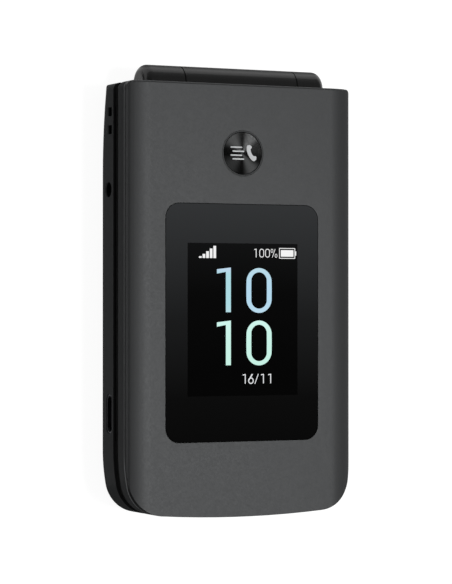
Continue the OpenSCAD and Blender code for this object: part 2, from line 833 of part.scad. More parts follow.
module battery() {
    color("#d9dadb") difference() {
        round_plate([0, battery_y + battery_l / 2], [battery_w, battery_l], 1.2, battery_z, battery_z + battery_t);
        // recess of the contacts in the end face
        block([contacts_x, battery_y + battery_l], [contacts[0] - 1, 0.8, 2], battery_z + 1.2);
    }
}

module battery_contacts() {
    color("#c9a24a") {
        at = [contacts_x, contacts_y + contacts[1] / 2 + 0.1];
        block(at, contacts, contacts_z);
        for (i = [-1, 0, 1])
            translate([at[0] + i * 2.6, contacts_y, contacts_z + 1.4]) sphere(0.45);
    }
}

module main_board() {
    color("#1e5a3a") difference() {
        intersection() {
            slab(board_inset, board_z, board_top);
            between(0, base_h, -far, board_end);
        }
        socket_rooms(base_h);
        for (p = base_screw_places) post(p, boss_r + room_gap, 0, base_h);
    }
}

// Film with one snap dome under each key
module keypad_domes() {
    low = num_place(0, 0);
    color("#b9bcbf") {
        difference() {
            block([0, (low[1] - pad_l / 2 + board_end - 1) / 2],
                  [2 * (fun_x + fun_w / 2), board_end - 1 - low[1] + pad_l / 2, film_t], board_top);
            socket_rooms(base_h);
        }
        for (k = num_keys) dome(num_place(k[1], k[2]));
        for (s = [-1, 1], row = [0 : 2]) dome(fun_place(s, row) + fun_foot(s, row));
        dome([0, back_y]);
        dome([0, nav_y]);
        for (a = [0, 90, 180, 270]) dome([0, nav_y] + nav_foot(a));
    }
}

// Keys beside the headphone socket have their foot and their dome shifted clear of it
function fun_foot(side, row) = [0, side < 0 ? jack_shift(fun_place(side, row)[1]) : 0];
function jack_shift(y) = abs(y - jack_y) > jack_clear ? 0 : jack_y - y + (y > jack_y ? jack_clear : -jack_clear);
function nav_foot(a) = [cos(a), sin(a)] * (nav_r + ok_r + key_gap) / 2;

module dome(at) {
    ball = (dome_r * dome_r + dome_h * dome_h) / (2 * dome_h);
    intersection() {
        translate([at[0], at[1], dome_top - ball]) sphere(ball, $fn = long_arc_fn / 4);
        post(at, dome_r, board_top + film_t - eps, dome_top + eps);
    }
}

module sim_holder() {
    color("#b4b7ba") difference() {
        block(sim_at, sim, sim_z);
        // card slots, open towards the battery
        for (i = [-1, 1])
            block(sim_at + [i * sim[0] / 4, -1], [sim[0] / 2 - 1.6, sim[1], 0.8], sim_z + 0.3);
    }
}

module usb_socket() {
    x0 = -side_x + 0.2;
    color("#a9acaf") {
        difference() {
            usb_profile(usb_shell, x0, -side_x + usb_depth);
            usb_profile(0, x0 - 1, -side_x + usb_depth - 1);
        }
        translate([x0 + 0.6, usb_y - 3.35, usb_z - 0.35]) cube([usb_depth - 1.6, 6.7, 0.7]);
    }
}

module headphone_socket() {
    color("#151617") difference() {
        translate([-inner_x + fit, jack_y - jack_case[1] / 2, jack_case_z]) cube(jack_case);
        translate([-side_x, jack_y, jack_z]) rotate([0, 90, 0]) cylinder(r = jack_r, h = jack_depth);
    }
}

module camera_module() {
    color("#17181a") {
        block(camera_at, camera_body, camera_z() + 0.1);
        post(camera_at, camera_r - 0.5, camera_z() - 0.4, camera_z() + 0.2);
    }
}

module camera_window() {
    z = back_z(camera_at[1]) + 0.35;
    color("#0b0c0e") post(camera_at, camera_r, z, z + 0.6);
}

module camera_ring() {
    z = back_z(camera_at[1]) + 0.2;
    color("#55585a") difference() {
        post(camera_at, camera_r + camera_ring_w, z, camera_z());
        post(camera_at, camera_r + fit, z - 1, z + 0.8);
        post(camera_at, camera_r - 0.4, z - 1, camera_z() + 1);
    }
}

module flash_lens() {
    z = back_z(flash_at[1]) + 0.15;
    color("#e8e2c8") post(flash_at, flash_r, z, z + 2.4);
}

module loudspeaker() {
    color("#3a3b3d") speaker_shape(0, speaker_z(), speaker_z() + speaker_t);
}

module microphone() {
    color("#c8c9ca") block([0, mic_y], mic, board_top);
}

module vibration_motor() {
    color("#b9babc") post(motor_at, motor_r, motor_z(), motor_z() + motor_t);
}

module antenna() {
    color("#c58a4a") block([0, y_bot + wall + antenna_size[1]], antenna_size, floor_z);
}

module volume_rocker() {
    color("#202223") {
        rocker_plate(0, collar_x, side_x + rocker_out);
        // short collar that keeps it from falling out
        block([collar_x, rocker_y], collar, rocker_z - collar[2] / 2);
        for (s = [-1, 1]) translate([rocker_foot_x, rocker_y + s * rocker_foot_y, rocker_z])
            rotate([0, 90, 0]) cylinder(r = rocker_foot_r, h = collar_x - rocker_foot_x + eps);
    }
}

module volume_switches() {
    color("#bdbfc1") for (s = [-1, 1])
        block([switch_x - switch_size[0] / 2, rocker_y + s * rocker_foot_y], switch_size,
              rocker_z - switch_size[2] / 2);
}

module base_screws() {
    color("#8d9092") for (p = base_screw_places) {
        post(p, screw_head_r, base_head_z, base_head_z + screw_head_h);
        post(p, screw_r, base_head_z + screw_head_h - eps, deck_z - 0.2);
    }
}

// ---------------------------------------------------------------- keys

// Key with a crowned top, a lip under the deck and a foot over its dome
module key(at, size, foot = [0, 0]) {
    intersection() {
        round_plate(at, size, key_corner_r, flange_top - eps, key_top);
        translate([at[0], at[1], key_top - key_crown_r]) rotate([0, 90, 0])
            cylinder(r = key_crown_r, h = far, center = true, $fn = long_arc_fn);
    }
    round_plate(at, [size[0] + 2 * key_lip, size[1] + 2 * key_lip], key_corner_r + key_lip,
                flange_top - flange_t, flange_top);
    post(at + foot, key_foot_r, key_foot, flange_top);
}

module num_key(i) {
    color("#303234") key(num_place(num_keys[i][1], num_keys[i][2]), [pad_w, pad_l]);
}

module fun_key(side, row, shade) {
    color(shade) key(fun_place(side, row), [fun_w, fun_l], fun_foot(side, row));
}

module nav_ring() {
    at = [0, nav_y];
    color("#3d4042") difference() {
        union() {
            post(at, nav_r, flange_top - eps, key_top);
            post(at, nav_r + key_lip, flange_top - flange_t, flange_top);
            for (a = [0, 90, 180, 270]) post(at + nav_foot(a), 0.9, key_foot, flange_top);
        }
        post(at, ok_r + key_gap, 0, far);
        difference() {
            post(at, ok_r + nav_web, 0, flange_top);
            for (a = [0, 90, 180, 270]) post(at + nav_foot(a), 0.9, 0, far);
        }
    }
}

module ok_key() {
    at = [0, nav_y];
    lip_top = flange_top - key_travel - seat;
    color("#303234") {
        post(at, ok_r, lip_top - eps, key_top);
        post(at, ok_r + key_lip + key_gap, lip_top - flange_t, lip_top);
        post(at, key_foot_r, key_foot, lip_top);
    }
}

module key_star() { num_key(0); }
module key_0() { num_key(1); }
module key_hash() { num_key(2); }
module key_7() { num_key(3); }
module key_8() { num_key(4); }
module key_9() { num_key(5); }
module key_4() { num_key(6); }
module key_5() { num_key(7); }
module key_6() { num_key(8); }
module key_1() { num_key(9); }
module key_2() { num_key(10); }
module key_3() { num_key(11); }
module soft_left_key() { fun_key(-1, 0, "#303234"); }
module soft_right_key() { fun_key(1, 0, "#303234"); }
module call_key() { fun_key(-1, 1, "#2f6b3f"); }
module end_key() { fun_key(1, 1, "#8c2f2f"); }
module camera_key() { fun_key(-1, 2, "#303234"); }
module message_key() { fun_key(1, 2, "#303234"); }
module back_key() { color("#303234") key([0, back_y], [fun_w, back_l]); }

// ---------------------------------------------------------------- hinge

module hinge_bush() {
    color("#9fa2a4") difference() {
        on_axis(bush_r, left_seam - socket_l + fit, left_seam + knuckle_gap + bearing_l - 0.3);
        on_axis(bush_r - 0.6, left_seam - socket_l - 1, left_seam + far);
    }
}

module hinge_cam_head() {
    color("#9fa2a4") {
        translate([right_seam + 0.1, axis_y, axis_z])
            block_on_axis(socket_l - 0.3, 2 * cam_shaft_r);
        on_axis(cam_shaft_r, right_seam - knuckle_gap - bearing_l, right_seam + 0.2);
    }
}

module hinge_cartridge() {
    color("#7f8284") difference() {
        on_axis(cartridge_r, cartridge_x, right_seam - knuckle_gap);
        on_axis(cam_shaft_r + hinge_run, right_seam - knuckle_gap - bearing_l - 0.3, far);
    }
}

module hinge_flex() {
    color("#b5702a") difference() {
        on_axis(cartridge_r - 0.1, left_seam + knuckle_gap + bearing_l + 0.5, cartridge_x - 0.6);
        on_axis(1.5, -far, far);
    }
}

// ---------------------------------------------------------------- lid

module lid_inner_housing() {
    color("#1a1b1c") {
        difference() {
            union() {
                slab(bezel_inset, lid_z, frame_z);
                ring_slab(wall + seat, wall + seat + rim_t, frame_z - eps, frame_z + 1.1);
            }
            between(frame_z, far, axis_y - barrel_r - 0.6);
            outer_knuckle_rooms();
            round_plate([0, in_window_y], [in_window_w + 0.2, in_window_l + 0.2], 2.6,
                        lid_z - 1, lid_z + in_window_t + 0.1);
            round_plate([0, in_window_y], [in_disp_w - 4, in_disp_l - 7], 1, lid_z - 1, far);
            round_plate([0, ear_y], ear_slot, ear_slot[1] / 2 - eps, lid_z - 1, far);
            round_plate([0, ear_y], [ear_slot[0] + 0.8, ear_slot[1] + 0.8], 0.9, frame_z - 0.25, frame_z + 1);
            for (p = lid_screw_places) {
                post(p, bumper_r + fit, lid_z - 1, lid_z + bumper_t - lid_gap + fit);
                post(p, screw_head_r + loose, lid_z - 1, lid_z + 0.95);
                post(p, screw_r + loose, lid_z - 1, far);
            }
            on_axis(cartridge_r + fit, left_seam, right_seam);
        }
        middle_knuckle();
    }
}

module middle_knuckle() {
    x0 = left_seam + knuckle_gap;
    x1 = right_seam - knuckle_gap;
    difference() {
        union() {
            barrel(x0, x1);
            translate([x0, axis_y - barrel_r, lid_z]) cube([x1 - x0, barrel_r - 0.1, barrel_r - 0.2]);
        }
        on_axis(bush_r + hinge_run, x0 - 1, x0 + bearing_l + 1);
        on_axis(cartridge_r + fit, x0 + bearing_l, x1 + 1);
    }
}

// Grey frame round the lid with a chamfered upper edge, open at the hinge barrel
module lid_frame() {
    color("#2c2e2f") difference() {
        intersection() {
            ring_slab(0, wall, frame_z, frame_top);
            frame_section();
        }
        translate([-barrel_x - barrel_side, y_top - wall - 0.5, 0])
            cube([2 * (barrel_x + barrel_side), wall + 1, far]);
    }
}

module frame_section() {
    half = body_w / 2;
    z = frame_top - frame_chamfer;
    rotate([90, 0, 0]) linear_extrude(far, center = true)
        polygon([[-half, 0], [half, 0], [half, z], [half - frame_chamfer, frame_top + eps],
                 [-half + frame_chamfer, frame_top + eps], [-half, z]]);
}

// Section of the lid's outer cover: flat, then a long arc, then a short one down to the frame
module roll_section() {
    half = body_w / 2;
    big_r = roll_r + (roll_h - roll_r) / (1 - cos(roll_angle));
    small_x = half - roll_r;
    big_x = small_x - (big_r - roll_r) * sin(roll_angle);
    knee = [small_x + roll_r * sin(roll_angle), cover_z + roll_r * cos(roll_angle)];
    translate([-big_x, cover_z]) square([2 * big_x, roll_h]);
    for (s = [0, 1]) mirror([s, 0]) {
        intersection() {
            translate([big_x, top_z - big_r]) circle(big_r, $fn = long_arc_fn / 2);
            translate([big_x - 1, cover_z]) square([knee[0] - big_x + 1, roll_h]);
        }
        intersection() {
            translate([small_x, cover_z]) circle(roll_r);
            translate([small_x, cover_z]) square(roll_r);
        }
    }
}

module lid_front_cover() {
    color("#4f5152") difference() {
        union() {
            intersection() {
                slab(0, cover_z, top_z);
                rotate([90, 0, 0]) linear_extrude(far, center = true) roll_section();
            }
            ring_slab(groove_d, wall + seat + rim_t, frame_top, cover_z + eps);
            difference() {
                ring_slab(wall + seat, wall + seat + rim_t, frame_top - 1, frame_top + eps);
                translate([-barrel_x - 1, axis_y - barrel_r - 0.6, 0]) cube([2 * barrel_x + 2, 10, far]);
            }
            for (p = lid_screw_places) post(p, boss_r, frame_z + fit, skin_z + eps);
        }
        difference() {
            slab(wall + seat + rim_t - eps, cover_z - 1, skin_z);
            for (p = lid_screw_places) post(p, boss_r, 0, far);
        }
        round_plate([0, window_y], [window_w + 0.2, window_l + 0.2], window_r + 0.1, top_z - window_t - fit, far);
        round_plate([0, window_y], [out_disp_w + 0.4, out_disp_l + 0.4], 1, cover_z - 1, far);
        post([0, dial_y], dial_hole_r(), cover_z - 1, far);
        for (p = lid_screw_places) post(p, screw_r + fit, 0, skin_z - 0.3);
    }
}

function dial_hole_r() = dial_r + key_gap + dial_ring_w + fit;

module quick_dial_ring() {
    color("#3a3c3e") difference() {
        post([0, dial_y], dial_hole_r() - fit, skin_z, top_z - 0.05);
        post([0, dial_y], dial_r + key_gap, skin_z - 1, far);
    }
}

module quick_dial_button() {
    top = top_z - 0.1;
    ball = (dial_r * dial_r + dial_dish * dial_dish) / (2 * dial_dish);
    lip_z = skin_z - key_gap - 0.3;
    color("#16181a") difference() {
        union() {
            post([0, dial_y], dial_r, lip_z, top);
            post([0, dial_y], dial_r + dial_ring_w + 0.6, lip_z, lip_z + 0.3);
        }
        translate([0, dial_y, top - dial_dish + ball]) sphere(ball, $fn = long_arc_fn / 2);
    }
}

module outer_window() {
    color("#0c0d0f") round_plate([0, window_y], [window_w, window_l], window_r, top_z - window_t, top_z);
}

module outer_display() {
    color("#101216") round_plate([0, window_y], [out_disp_w, out_disp_l], 0.6, out_disp_z, out_disp_z + out_disp_t);
}

module inner_window() {
    color("#0c0d0f") round_plate([0, in_window_y], [in_window_w, in_window_l], 2.5,
                                 lid_z + seat, lid_z + seat + in_window_t);
}

module inner_display() {
    color("#101216") round_plate([0, in_window_y], [in_disp_w, in_disp_l], 0.8, in_disp_z, in_disp_z + in_disp_t);
}

module lid_board() {
    color("#1e5a3a") {
        y0 = in_window_y - in_disp_l / 2 + 4;
        y1 = y_top - lid_board_stop;
        block([0, (y0 + y1) / 2], [2 * (lid_screw_places[0][0] - boss_r) - 1, y1 - y0, lid_board_t], lid_board_z);
        post([0, dial_y], 1.8, lid_board_z + lid_board_t - eps, lid_board_z + lid_board_t + 0.15);
    }
}

module lid_screws() {
    color("#8d9092") for (p = lid_screw_places) {
        post(p, screw_head_r, lid_z + 0.25, lid_z + 0.9);
        post(p, screw_r, lid_z + 0.8, skin_z - 0.5);
    }
}

module lid_bumpers() {
    color("#101112") for (p = lid_screw_places)
        post(p, bumper_r, base_h + fit, base_h + fit + bumper_t);
}

module earpiece() {
    color("#2f3133") block([0, ear_y], ear, frame_z + fit);
}

module earpiece_mesh() {
    color("#6d7072") round_plate([0, ear_y], [ear_slot[0] + 0.7, ear_slot[1] + 0.7], 0.85,
                                 frame_z - 0.25, frame_z);
}

// ---------------------------------------------------------------- drawing

rear_cover();
base_rear_housing();
base_front_housing();
battery();
battery_contacts();
main_board();
keypad_domes();
sim_holder();
usb_socket();
headphone_socket();
camera_module();
camera_window();
camera_ring();
flash_lens();
loudspeaker();
microphone();
vibration_motor();
antenna();
volume_rocker();
volume_switches();
base_screws();
hinge_bush();
hinge_cam_head();
hinge_cartridge();
hinge_flex();
key_1();
key_2();
key_3();
key_4();
key_5();
key_6();
key_7();
key_8();
key_9();
key_star();
key_0();
key_hash();
soft_left_key();
soft_right_key();
call_key();
end_key();
camera_key();
message_key();
back_key();
nav_ring();
ok_key();
lid_inner_housing();
lid_frame();
lid_front_cover();
lid_board();
lid_screws();
lid_bumpers();
outer_window();
outer_display();
inner_window();
inner_display();
earpiece();
earpiece_mesh();
quick_dial_ring();
quick_dial_button();
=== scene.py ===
# %% [markdown]
# # A closed flip phone
# The real phone is a stack of moulded shells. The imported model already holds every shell, key and
# screw at its true size, so this notebook adds what a measured solid lacks: softened edges, paint,
# grain, glass, printed legends and a lit display. Everything is in metres, in one shared frame:
# +X is the right of the lid, +Y points to the hinge and +Z comes out of the lid.

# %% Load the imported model
import json
import math
import bmesh
import bpy
from mathutils import Matrix, Vector


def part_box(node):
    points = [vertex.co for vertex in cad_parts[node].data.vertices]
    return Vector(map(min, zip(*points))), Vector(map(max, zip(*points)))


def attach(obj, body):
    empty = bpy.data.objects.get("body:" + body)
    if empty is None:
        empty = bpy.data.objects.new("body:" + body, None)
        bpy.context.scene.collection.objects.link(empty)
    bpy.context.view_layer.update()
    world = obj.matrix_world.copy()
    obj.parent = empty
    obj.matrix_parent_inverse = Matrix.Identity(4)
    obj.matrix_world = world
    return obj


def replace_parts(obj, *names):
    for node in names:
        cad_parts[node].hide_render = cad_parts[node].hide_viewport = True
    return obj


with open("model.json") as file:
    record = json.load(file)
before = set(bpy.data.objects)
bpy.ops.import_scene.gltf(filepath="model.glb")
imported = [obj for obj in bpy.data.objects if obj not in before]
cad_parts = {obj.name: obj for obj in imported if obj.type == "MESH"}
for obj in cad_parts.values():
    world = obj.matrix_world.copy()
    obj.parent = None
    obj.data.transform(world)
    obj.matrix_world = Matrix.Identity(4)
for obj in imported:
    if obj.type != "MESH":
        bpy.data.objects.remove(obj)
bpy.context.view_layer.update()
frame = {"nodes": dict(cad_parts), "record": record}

scene = bpy.context.scene
nodes = frame["nodes"]
home = {node: body for body, names in frame["record"]["behaviour"]["bodies"].items()
        for node in names}


def mm(*lengths):
    """Millimetres as metres: one number, or a tuple of them."""
    return lengths[0] / 1000 if len(lengths) == 1 else tuple(v / 1000 for v in lengths)


def middle(node):
    """The middle of a node's box, in millimetres."""
    low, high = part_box(node)
    return tuple(1000 * v for v in (low + high) / 2)


def placed(at, side, up, back):
    """The matrix of an object at a place, from the directions of its own three axes."""
    return Matrix.Translation(at) @ Matrix((side, up, back)).transposed().to_4x4()


# %% [markdown]
# ## Camera
# A long lens, about half a metre away and turned 26 degrees to the left, shows the lid and a narrow
# strip of the left side. The axes of the camera are written out, because a look-at constraint would
# hide the small pitch that keeps the long edges upright.

# %% Camera
TURN, PITCH = math.radians(26.2), math.radians(0.391)
CAMERA_PLACE = mm(-255.02, -4.08, 527.22)
SENSOR = 36            # long side of the sensor in millimetres
FRAME_LENGTH = 584     # long side of the frame in pixels
FOCAL_LENGTH = 2475.9  # in the same pixels

right = Vector((math.cos(TURN), 0, math.sin(TURN)))
ahead = Vector((math.cos(PITCH) * math.sin(TURN), math.sin(PITCH),
                -math.cos(PITCH) * math.cos(TURN)))
camera = bpy.data.objects.new("camera", bpy.data.cameras.new("camera"))
scene.collection.objects.link(camera)
camera.matrix_world = placed(CAMERA_PLACE, right, right.cross(ahead), -ahead)
camera.data.sensor_width = SENSOR
camera.data.lens = SENSOR * FOCAL_LENGTH / FRAME_LENGTH
scene.camera = camera
print("lens", round(camera.data.lens, 1), "mm")

# %% [markdown]
# ## A small language for materials
# A material is a graph of nodes, and graphs are hard to read as code. `Wire` wraps one output
# socket and overloads the arithmetic signs, so a mask is written as an expression. `Finish` owns
# the graph: `add` makes any node, and `feed` joins a result to the surface shader. What stays the
# same all over a surface is typed straight onto the shader.

# %% Wire and Finish
class Wire:
    """One output socket, with the arithmetic signs overloaded."""

    def __init__(self, finish, socket):
        self.finish, self.socket = finish, socket

    def maths(self, operation, *values):
        return self.finish.maths(operation, *values)

    def __add__(self, other): return self.maths("ADD", self, other)
    def __radd__(self, other): return self.maths("ADD", other, self)
    def __sub__(self, other): return self.maths("SUBTRACT", self, other)
    def __rsub__(self, other): return self.maths("SUBTRACT", other, self)
    def __mul__(self, other): return self.maths("MULTIPLY", self, other)
    def __rmul__(self, other): return self.maths("MULTIPLY", other, self)
    def __truediv__(self, other): return self.maths("DIVIDE", self, other)
    def __pow__(self, other): return self.maths("POWER", self, other)
    def __abs__(self): return self.maths("ABSOLUTE", self)


class Finish:
    """One material. Uniform values are given by socket name, with _ for a space. Every finish is
    kept in made under its name."""
    made = {}

    def __init__(self, name, **uniform):
        Finish.made[name] = self
        self.material = bpy.data.materials.new(name)
        self.material.use_nodes = True
        self.tree = self.material.node_tree
        self.shader = self.tree.nodes["Principled BSDF"]
        for socket, value in uniform.items():
            self.shader.inputs[socket.replace("_", " ")].default_value = value

    def add(self, kind, settings=None, *values, out=0, **named):
        """Adds a node. Settings come first, then the inputs in order, then inputs by name."""
        node = self.tree.nodes.new("ShaderNode" + kind)
        for key, value in (settings or {}).items():
            if key == "stops":
                while len(node.color_ramp.elements) < len(value):
                    node.color_ramp.elements.new(0.5)
                for element, (at, colour) in zip(node.color_ramp.elements, value):
                    element.position, element.color = at, (*colour, 1)
            else:
                setattr(node, key, value)
        pairs = [(node.inputs[i], v) for i, v in enumerate(values) if v is not None]
        pairs += [(node.inputs[key.replace("_", " ")], v) for key, v in named.items()]
        for socket, value in pairs:
            if isinstance(value, Wire):
                self.tree.links.new(value.socket, socket)
            else:
                socket.default_value = value
        if isinstance(out, tuple):
            return [Wire(self, node.outputs[o]) for o in out]
        return Wire(self, node.outputs[out])

    def feed(self, socket, wire):
        self.tree.links.new(wire.socket, self.shader.inputs[socket])

    def maths(self, operation, *values):
        return self.add("Math", {"operation": operation}, *values)

    def point(self, centre=(0, 0, 0)):
        """Object coordinates in millimetres, counted from a centre in millimetres."""
        at = self.add("TexCoord", None, out="Object")
        return self.add("Mapping", {"vector_type": "POINT"}, at, tuple(-c for c in centre),
                        (0, 0, 0), (1000, 1000, 1000))

    def axes(self, centre=(0, 0, 0)):
        return self.add("SeparateXYZ", None, self.point(centre), out=("X", "Y", "Z"))

    def noise(self, size, detail=2.0, stretch=(1, 1, 1)):
        """Smooth noise from 0 to 1 with lumps of about a size in millimetres."""
        at = self.add("Mapping", {"vector_type": "POINT"}, self.point(), (0, 0, 0), (0, 0, 0),
                      stretch)
        return self.add("TexNoise", None, at, Scale=1 / size, Detail=detail, out="Fac")

    def cells(self, size):
        return self.add("TexVoronoi", {"feature": "F1"}, self.point(), Scale=1 / size,
                        out="Distance")

    def between(self, low, high, mask):
        """A number that goes from low to high with a mask."""
        return mask * (high - low) + low

    def mix(self, first, second, mask):
        """A colour that goes from the first to the second with a mask."""
        first, second = [(*c, 1) if isinstance(c, tuple) and len(c) == 3 else c
                         for c in (first, second)]
        return self.add("Mix", {"data_type": "RGBA"}, mask, *[None] * 5, first, second, out=2)

    def soft_step(self, value, start, end):
        """0 below start, 1 above end and smooth between them."""
        return self.add("MapRange", {"interpolation_type": "SMOOTHSTEP"}, value, start, end,
                        0.0, 1.0)

    def bump(self, height, distance, strength=1.0):
        """Relief whose full height is a distance in millimetres."""
        return self.add("Bump", None, strength, distance / 1000, None, height)


def grey(level, warm=0.0):
    """A linear grey, a little warmer or cooler."""
    return (level * (1 + warm), level, level * (1 - warm))


# %% [markdown]
# ## Soft edges
# A mould can't make a perfect corner, and it is the thin highlight on a rounded edge that tells
# the eye how big a thing is. The solids have true corners, so visible shells are copied, merged
# and bevelled by a tenth of a millimetre or more. The bevel operator is used with a list of edges,
# picked by the angle between their two faces, because a modifier would also round slots that are
# too narrow.

# %% Copy a node with softened edges
JOIN = 1e-7        # corners nearer than this, in metres, are one
FLAT = 0.02        # degrees between faces that are one flat face
CORNER = 40        # degrees above which an edge is a corner to round
SMOOTH = 35        # degrees below which shading runs on over an edge
BEVEL_AREA = 1e-5  # square metres: a smaller face is taken as part of a bevel


def merged(node):
    """A bmesh of a node with its loose triangles joined, flat areas made one face."""
    bm = bmesh.new()
    bm.from_mesh(nodes[node].data)
    bmesh.ops.remove_doubles(bm, verts=bm.verts, dist=JOIN)
    bmesh.ops.dissolve_limit(bm, angle_limit=math.radians(FLAT), verts=bm.verts, edges=bm.edges)
    return bm


def in_scene(bm, name):
    """Turns a bmesh into an object of the scene."""
    mesh = bpy.data.meshes.new(name)
    bm.to_mesh(mesh)
    bm.free()
    obj = bpy.data.objects.new(name, mesh)
    scene.collection.objects.link(obj)
    return obj


def piece(bm, name, body, finish):
    """Turns a bmesh into a piece that rides on a body, smooth except at its sharp edges."""
    for f in bm.faces:
        f.smooth = True
    for e in bm.edges:
        e.smooth = len(e.link_faces) == 2 and e.calc_face_angle(0) < math.radians(SMOOTH)
    obj = in_scene(bm, name)
    obj.data.materials.append(finish.material)
    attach(obj, body)
    return obj


def final_mesh(obj):
    """A new mesh of an object as it is after its modifiers, or of a text object's outline."""
    bpy.context.view_layer.update()
    view = bpy.context.evaluated_depsgraph_get()
    return bpy.data.meshes.new_from_object(obj.evaluated_get(view))


def keep_flat(obj):
    """Weights normals by face area, so that flat faces stay flat beside a bevel, and applies it."""
    modifier = obj.modifiers.new("flat", "WEIGHTED_NORMAL")
    modifier.keep_sharp = True
    finished = final_mesh(obj)
    obj.modifiers.clear()
    obj.data = finished
    return obj


def soften(node, rounds, mirror_flat=False):
    """Replaces a node by a rounded copy. rounds lists (width in mm, segments, test of an edge).
    With mirror_flat only small faces are smooth, so that a large face mirrors straight lines."""
    bm = merged(node)
    for width, segments, wanted in rounds:
        sharp = [e for e in bm.edges
                 if len(e.link_faces) == 2 and e.calc_face_angle(0) > math.radians(CORNER)]
        # The sum of the two ends times 500 is the middle of the edge in millimetres.
        picked = [e for e in sharp if wanted((e.verts[0].co + e.verts[1].co) * 500, e)]
        bmesh.ops.bevel(bm, geom=picked, offset=mm(width), offset_type="OFFSET", segments=segments,
                        profile=0.5, affect="EDGES", clamp_overlap=True, material=-1)
        print(node, "softened", len(picked), "edges by", width, "mm")
    low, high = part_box(node)
    for v in bm.verts:
        v.co = [min(max(c, a), b) for c, a, b in zip(v.co, low, high)]
    finish = Finish.made[named[node]]
    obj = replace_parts(piece(bm, node + "_soft", home[node], finish), node)
    if not mirror_flat:
        return keep_flat(obj)
    for face in obj.data.polygons:
        face.use_smooth = face.area < BEVEL_AREA
    return obj


def rim(e):
    """True where a level face that faces up meets a wall."""
    tilt = sorted(f.normal.z for f in e.link_faces)
    return tilt[1] > 0.6 and abs(tilt[0]) < 0.5


# %% [markdown]
# ## Grey paints
# The lid is a moulded cover in a matte grey paint with very fine metal flake. Up close it has
# grain about a tenth of a millimetre wide, and over some centimetres the paint is slightly uneven.
# Noise at three sizes does this: flake, orange peel and cloud.
#
# Two of the paints also carry a tone that real paint doesn't have. It darkens the rolled edge of
# the lid and brightens the top edge of the frame, where this light gives too little contrast: a
# painted shade and a painted highlight. The side paint carries a painted shade too, inside the
# slots and sockets of the left wall and on the rim at the seam.
# The side and the frame paint have almost no gloss, so that the low walls don't mirror the pale
# floor. These are shortcuts: they stay put when the light changes, and lamps should do this work.

# %% Paints
SPECK, PEEL, CLOUD = 0.09, 0.5, 18  # sizes of the three noises in millimetres


def paint(name, level, flake=0.12, roughness=0.5, shades=(), shade_mask=None, **uniform):
    """Matte paint. shades lists (axis, start, end, tone at the start, tone at the end): a tone that
    is painted on where the light would give one. The mask that follows shades is painted shade: it
    darkens the tone where it is 1."""
    f = Finish(name, **uniform)
    speck = f.noise(SPECK, detail=1)
    peel = f.noise(PEEL, detail=3)
    cloud = f.noise(CLOUD, detail=2)
    tone = f.between(1 - flake, 1 + flake, speck) * f.between(0.97, 1.03, cloud)
    for axis, start, end, first, last in shades:
        step = f.soft_step(f.axes()["xyz".index(axis)], start, end)
        tone = tone * f.between(first, last, step)
    # The mask is a painted shade: it darkens the tone in the recesses and on the rim it marks.
    if shade_mask:
        tone = tone * (1 - shade_mask(f) * 0.9)
    shade = f.add("CombineColor", None, tone * (level * 0.975), tone * level, tone * (level * 1.02))
    f.feed("Base Color", shade)
    f.feed("Roughness", f.between(roughness - 0.05, roughness + 0.08, peel))
    f.feed("Normal", f.bump(speck * 0.6 + peel * 0.4, 0.003))
    return f


def painted_recess_shade(f):
    """Painted shade for the side paint: 1 inside the slots and sockets of the left wall, and 0.8
    on the hidden rim at the seam.
    """
    x, y, z = f.axes()
    wall, back_of_slots = (-28.6, -28.35), (-20.0, -19.0)
    free_end, hinge_end = (-35.0, -34.0), (42.0, 42.5)
    lowest_slot, seam = (3.8, 3.9), (9.2, 9.28)
    deep = (f.soft_step(x, *wall) * (1 - f.soft_step(x, *back_of_slots))
            * f.soft_step(z, *lowest_slot))
    along = f.soft_step(y, *free_end) * (1 - f.soft_step(y, *hinge_end))
    return f.maths("MAXIMUM", deep * along, f.soft_step(z, *seam) * 0.8)


paint("lid_paint", 0.075, roughness=0.52, shades=[("z", 15.5, 16.9, 0.55, 1)],
      Metallic=0.75, Specular_IOR_Level=0.1)
# The side paint is darkened inside the slots and on the rim at the seam: a painted shade.
paint("side_paint", 0.07, flake=0.1, shade_mask=painted_recess_shade, Specular_IOR_Level=0.01)
paint("frame_paint", 0.08, flake=0.1, shades=[("z", 14.98, 15.18, 1, 4)],
      Specular_IOR_Level=0.01)
print("paints made")

# %% [markdown]
# ## Black mouldings
# The bezels, the hinge barrel and the keypad deck are unpainted black plastic with a spark-eroded
# grain: fine pits, with a roughness that changes over them. Cell noise gives the pits. The barrel
# is smoother than the rest and has a clear coat. The coat has a mask, a band along the hinge that
# fades towards both ends, and that mask is a shortcut too: it shapes the highlight.

# %% Black plastic
BARREL_START, BARREL_END = (47.5, 47.8), (50.7, 51.5)  # where the coat comes and goes, along y
BARREL_SIDE = (22.6, 23.8)                             # where it fades, from the middle outwards


def moulded(name, level, roughness, pit=0.16, depth=0.01, **uniform):
    f = Finish(name, **uniform)
    pits = f.cells(pit)
    blur = f.noise(6, detail=3)
    f.feed("Base Color", f.mix(grey(level * 0.86), grey(level * 1.14), blur))
    f.feed("Roughness", f.between(roughness, roughness + 0.12, f.soft_step(pits, 0.1, 0.7)))
    f.feed("Normal", f.bump(pits, depth))
    return f


bezel_black = moulded("bezel_black", 0.013, 0.45, depth=0.006, Specular_IOR_Level=0.08,
                      Coat_Roughness=0.2)
x, y = bezel_black.axes()[:2]
polish = bezel_black.soft_step(y, *BARREL_START) * (1 - bezel_black.soft_step(y, *BARREL_END))
polish = polish * (1 - bezel_black.soft_step(abs(x), *BARREL_SIDE))
bezel_black.feed("Coat Weight", polish * 0.75)
moulded("socket_black", 0.008, 0.45)
moulded("rubber_black", 0.012, 0.7, pit=0.3, depth=0.03)
print("black plastics made")

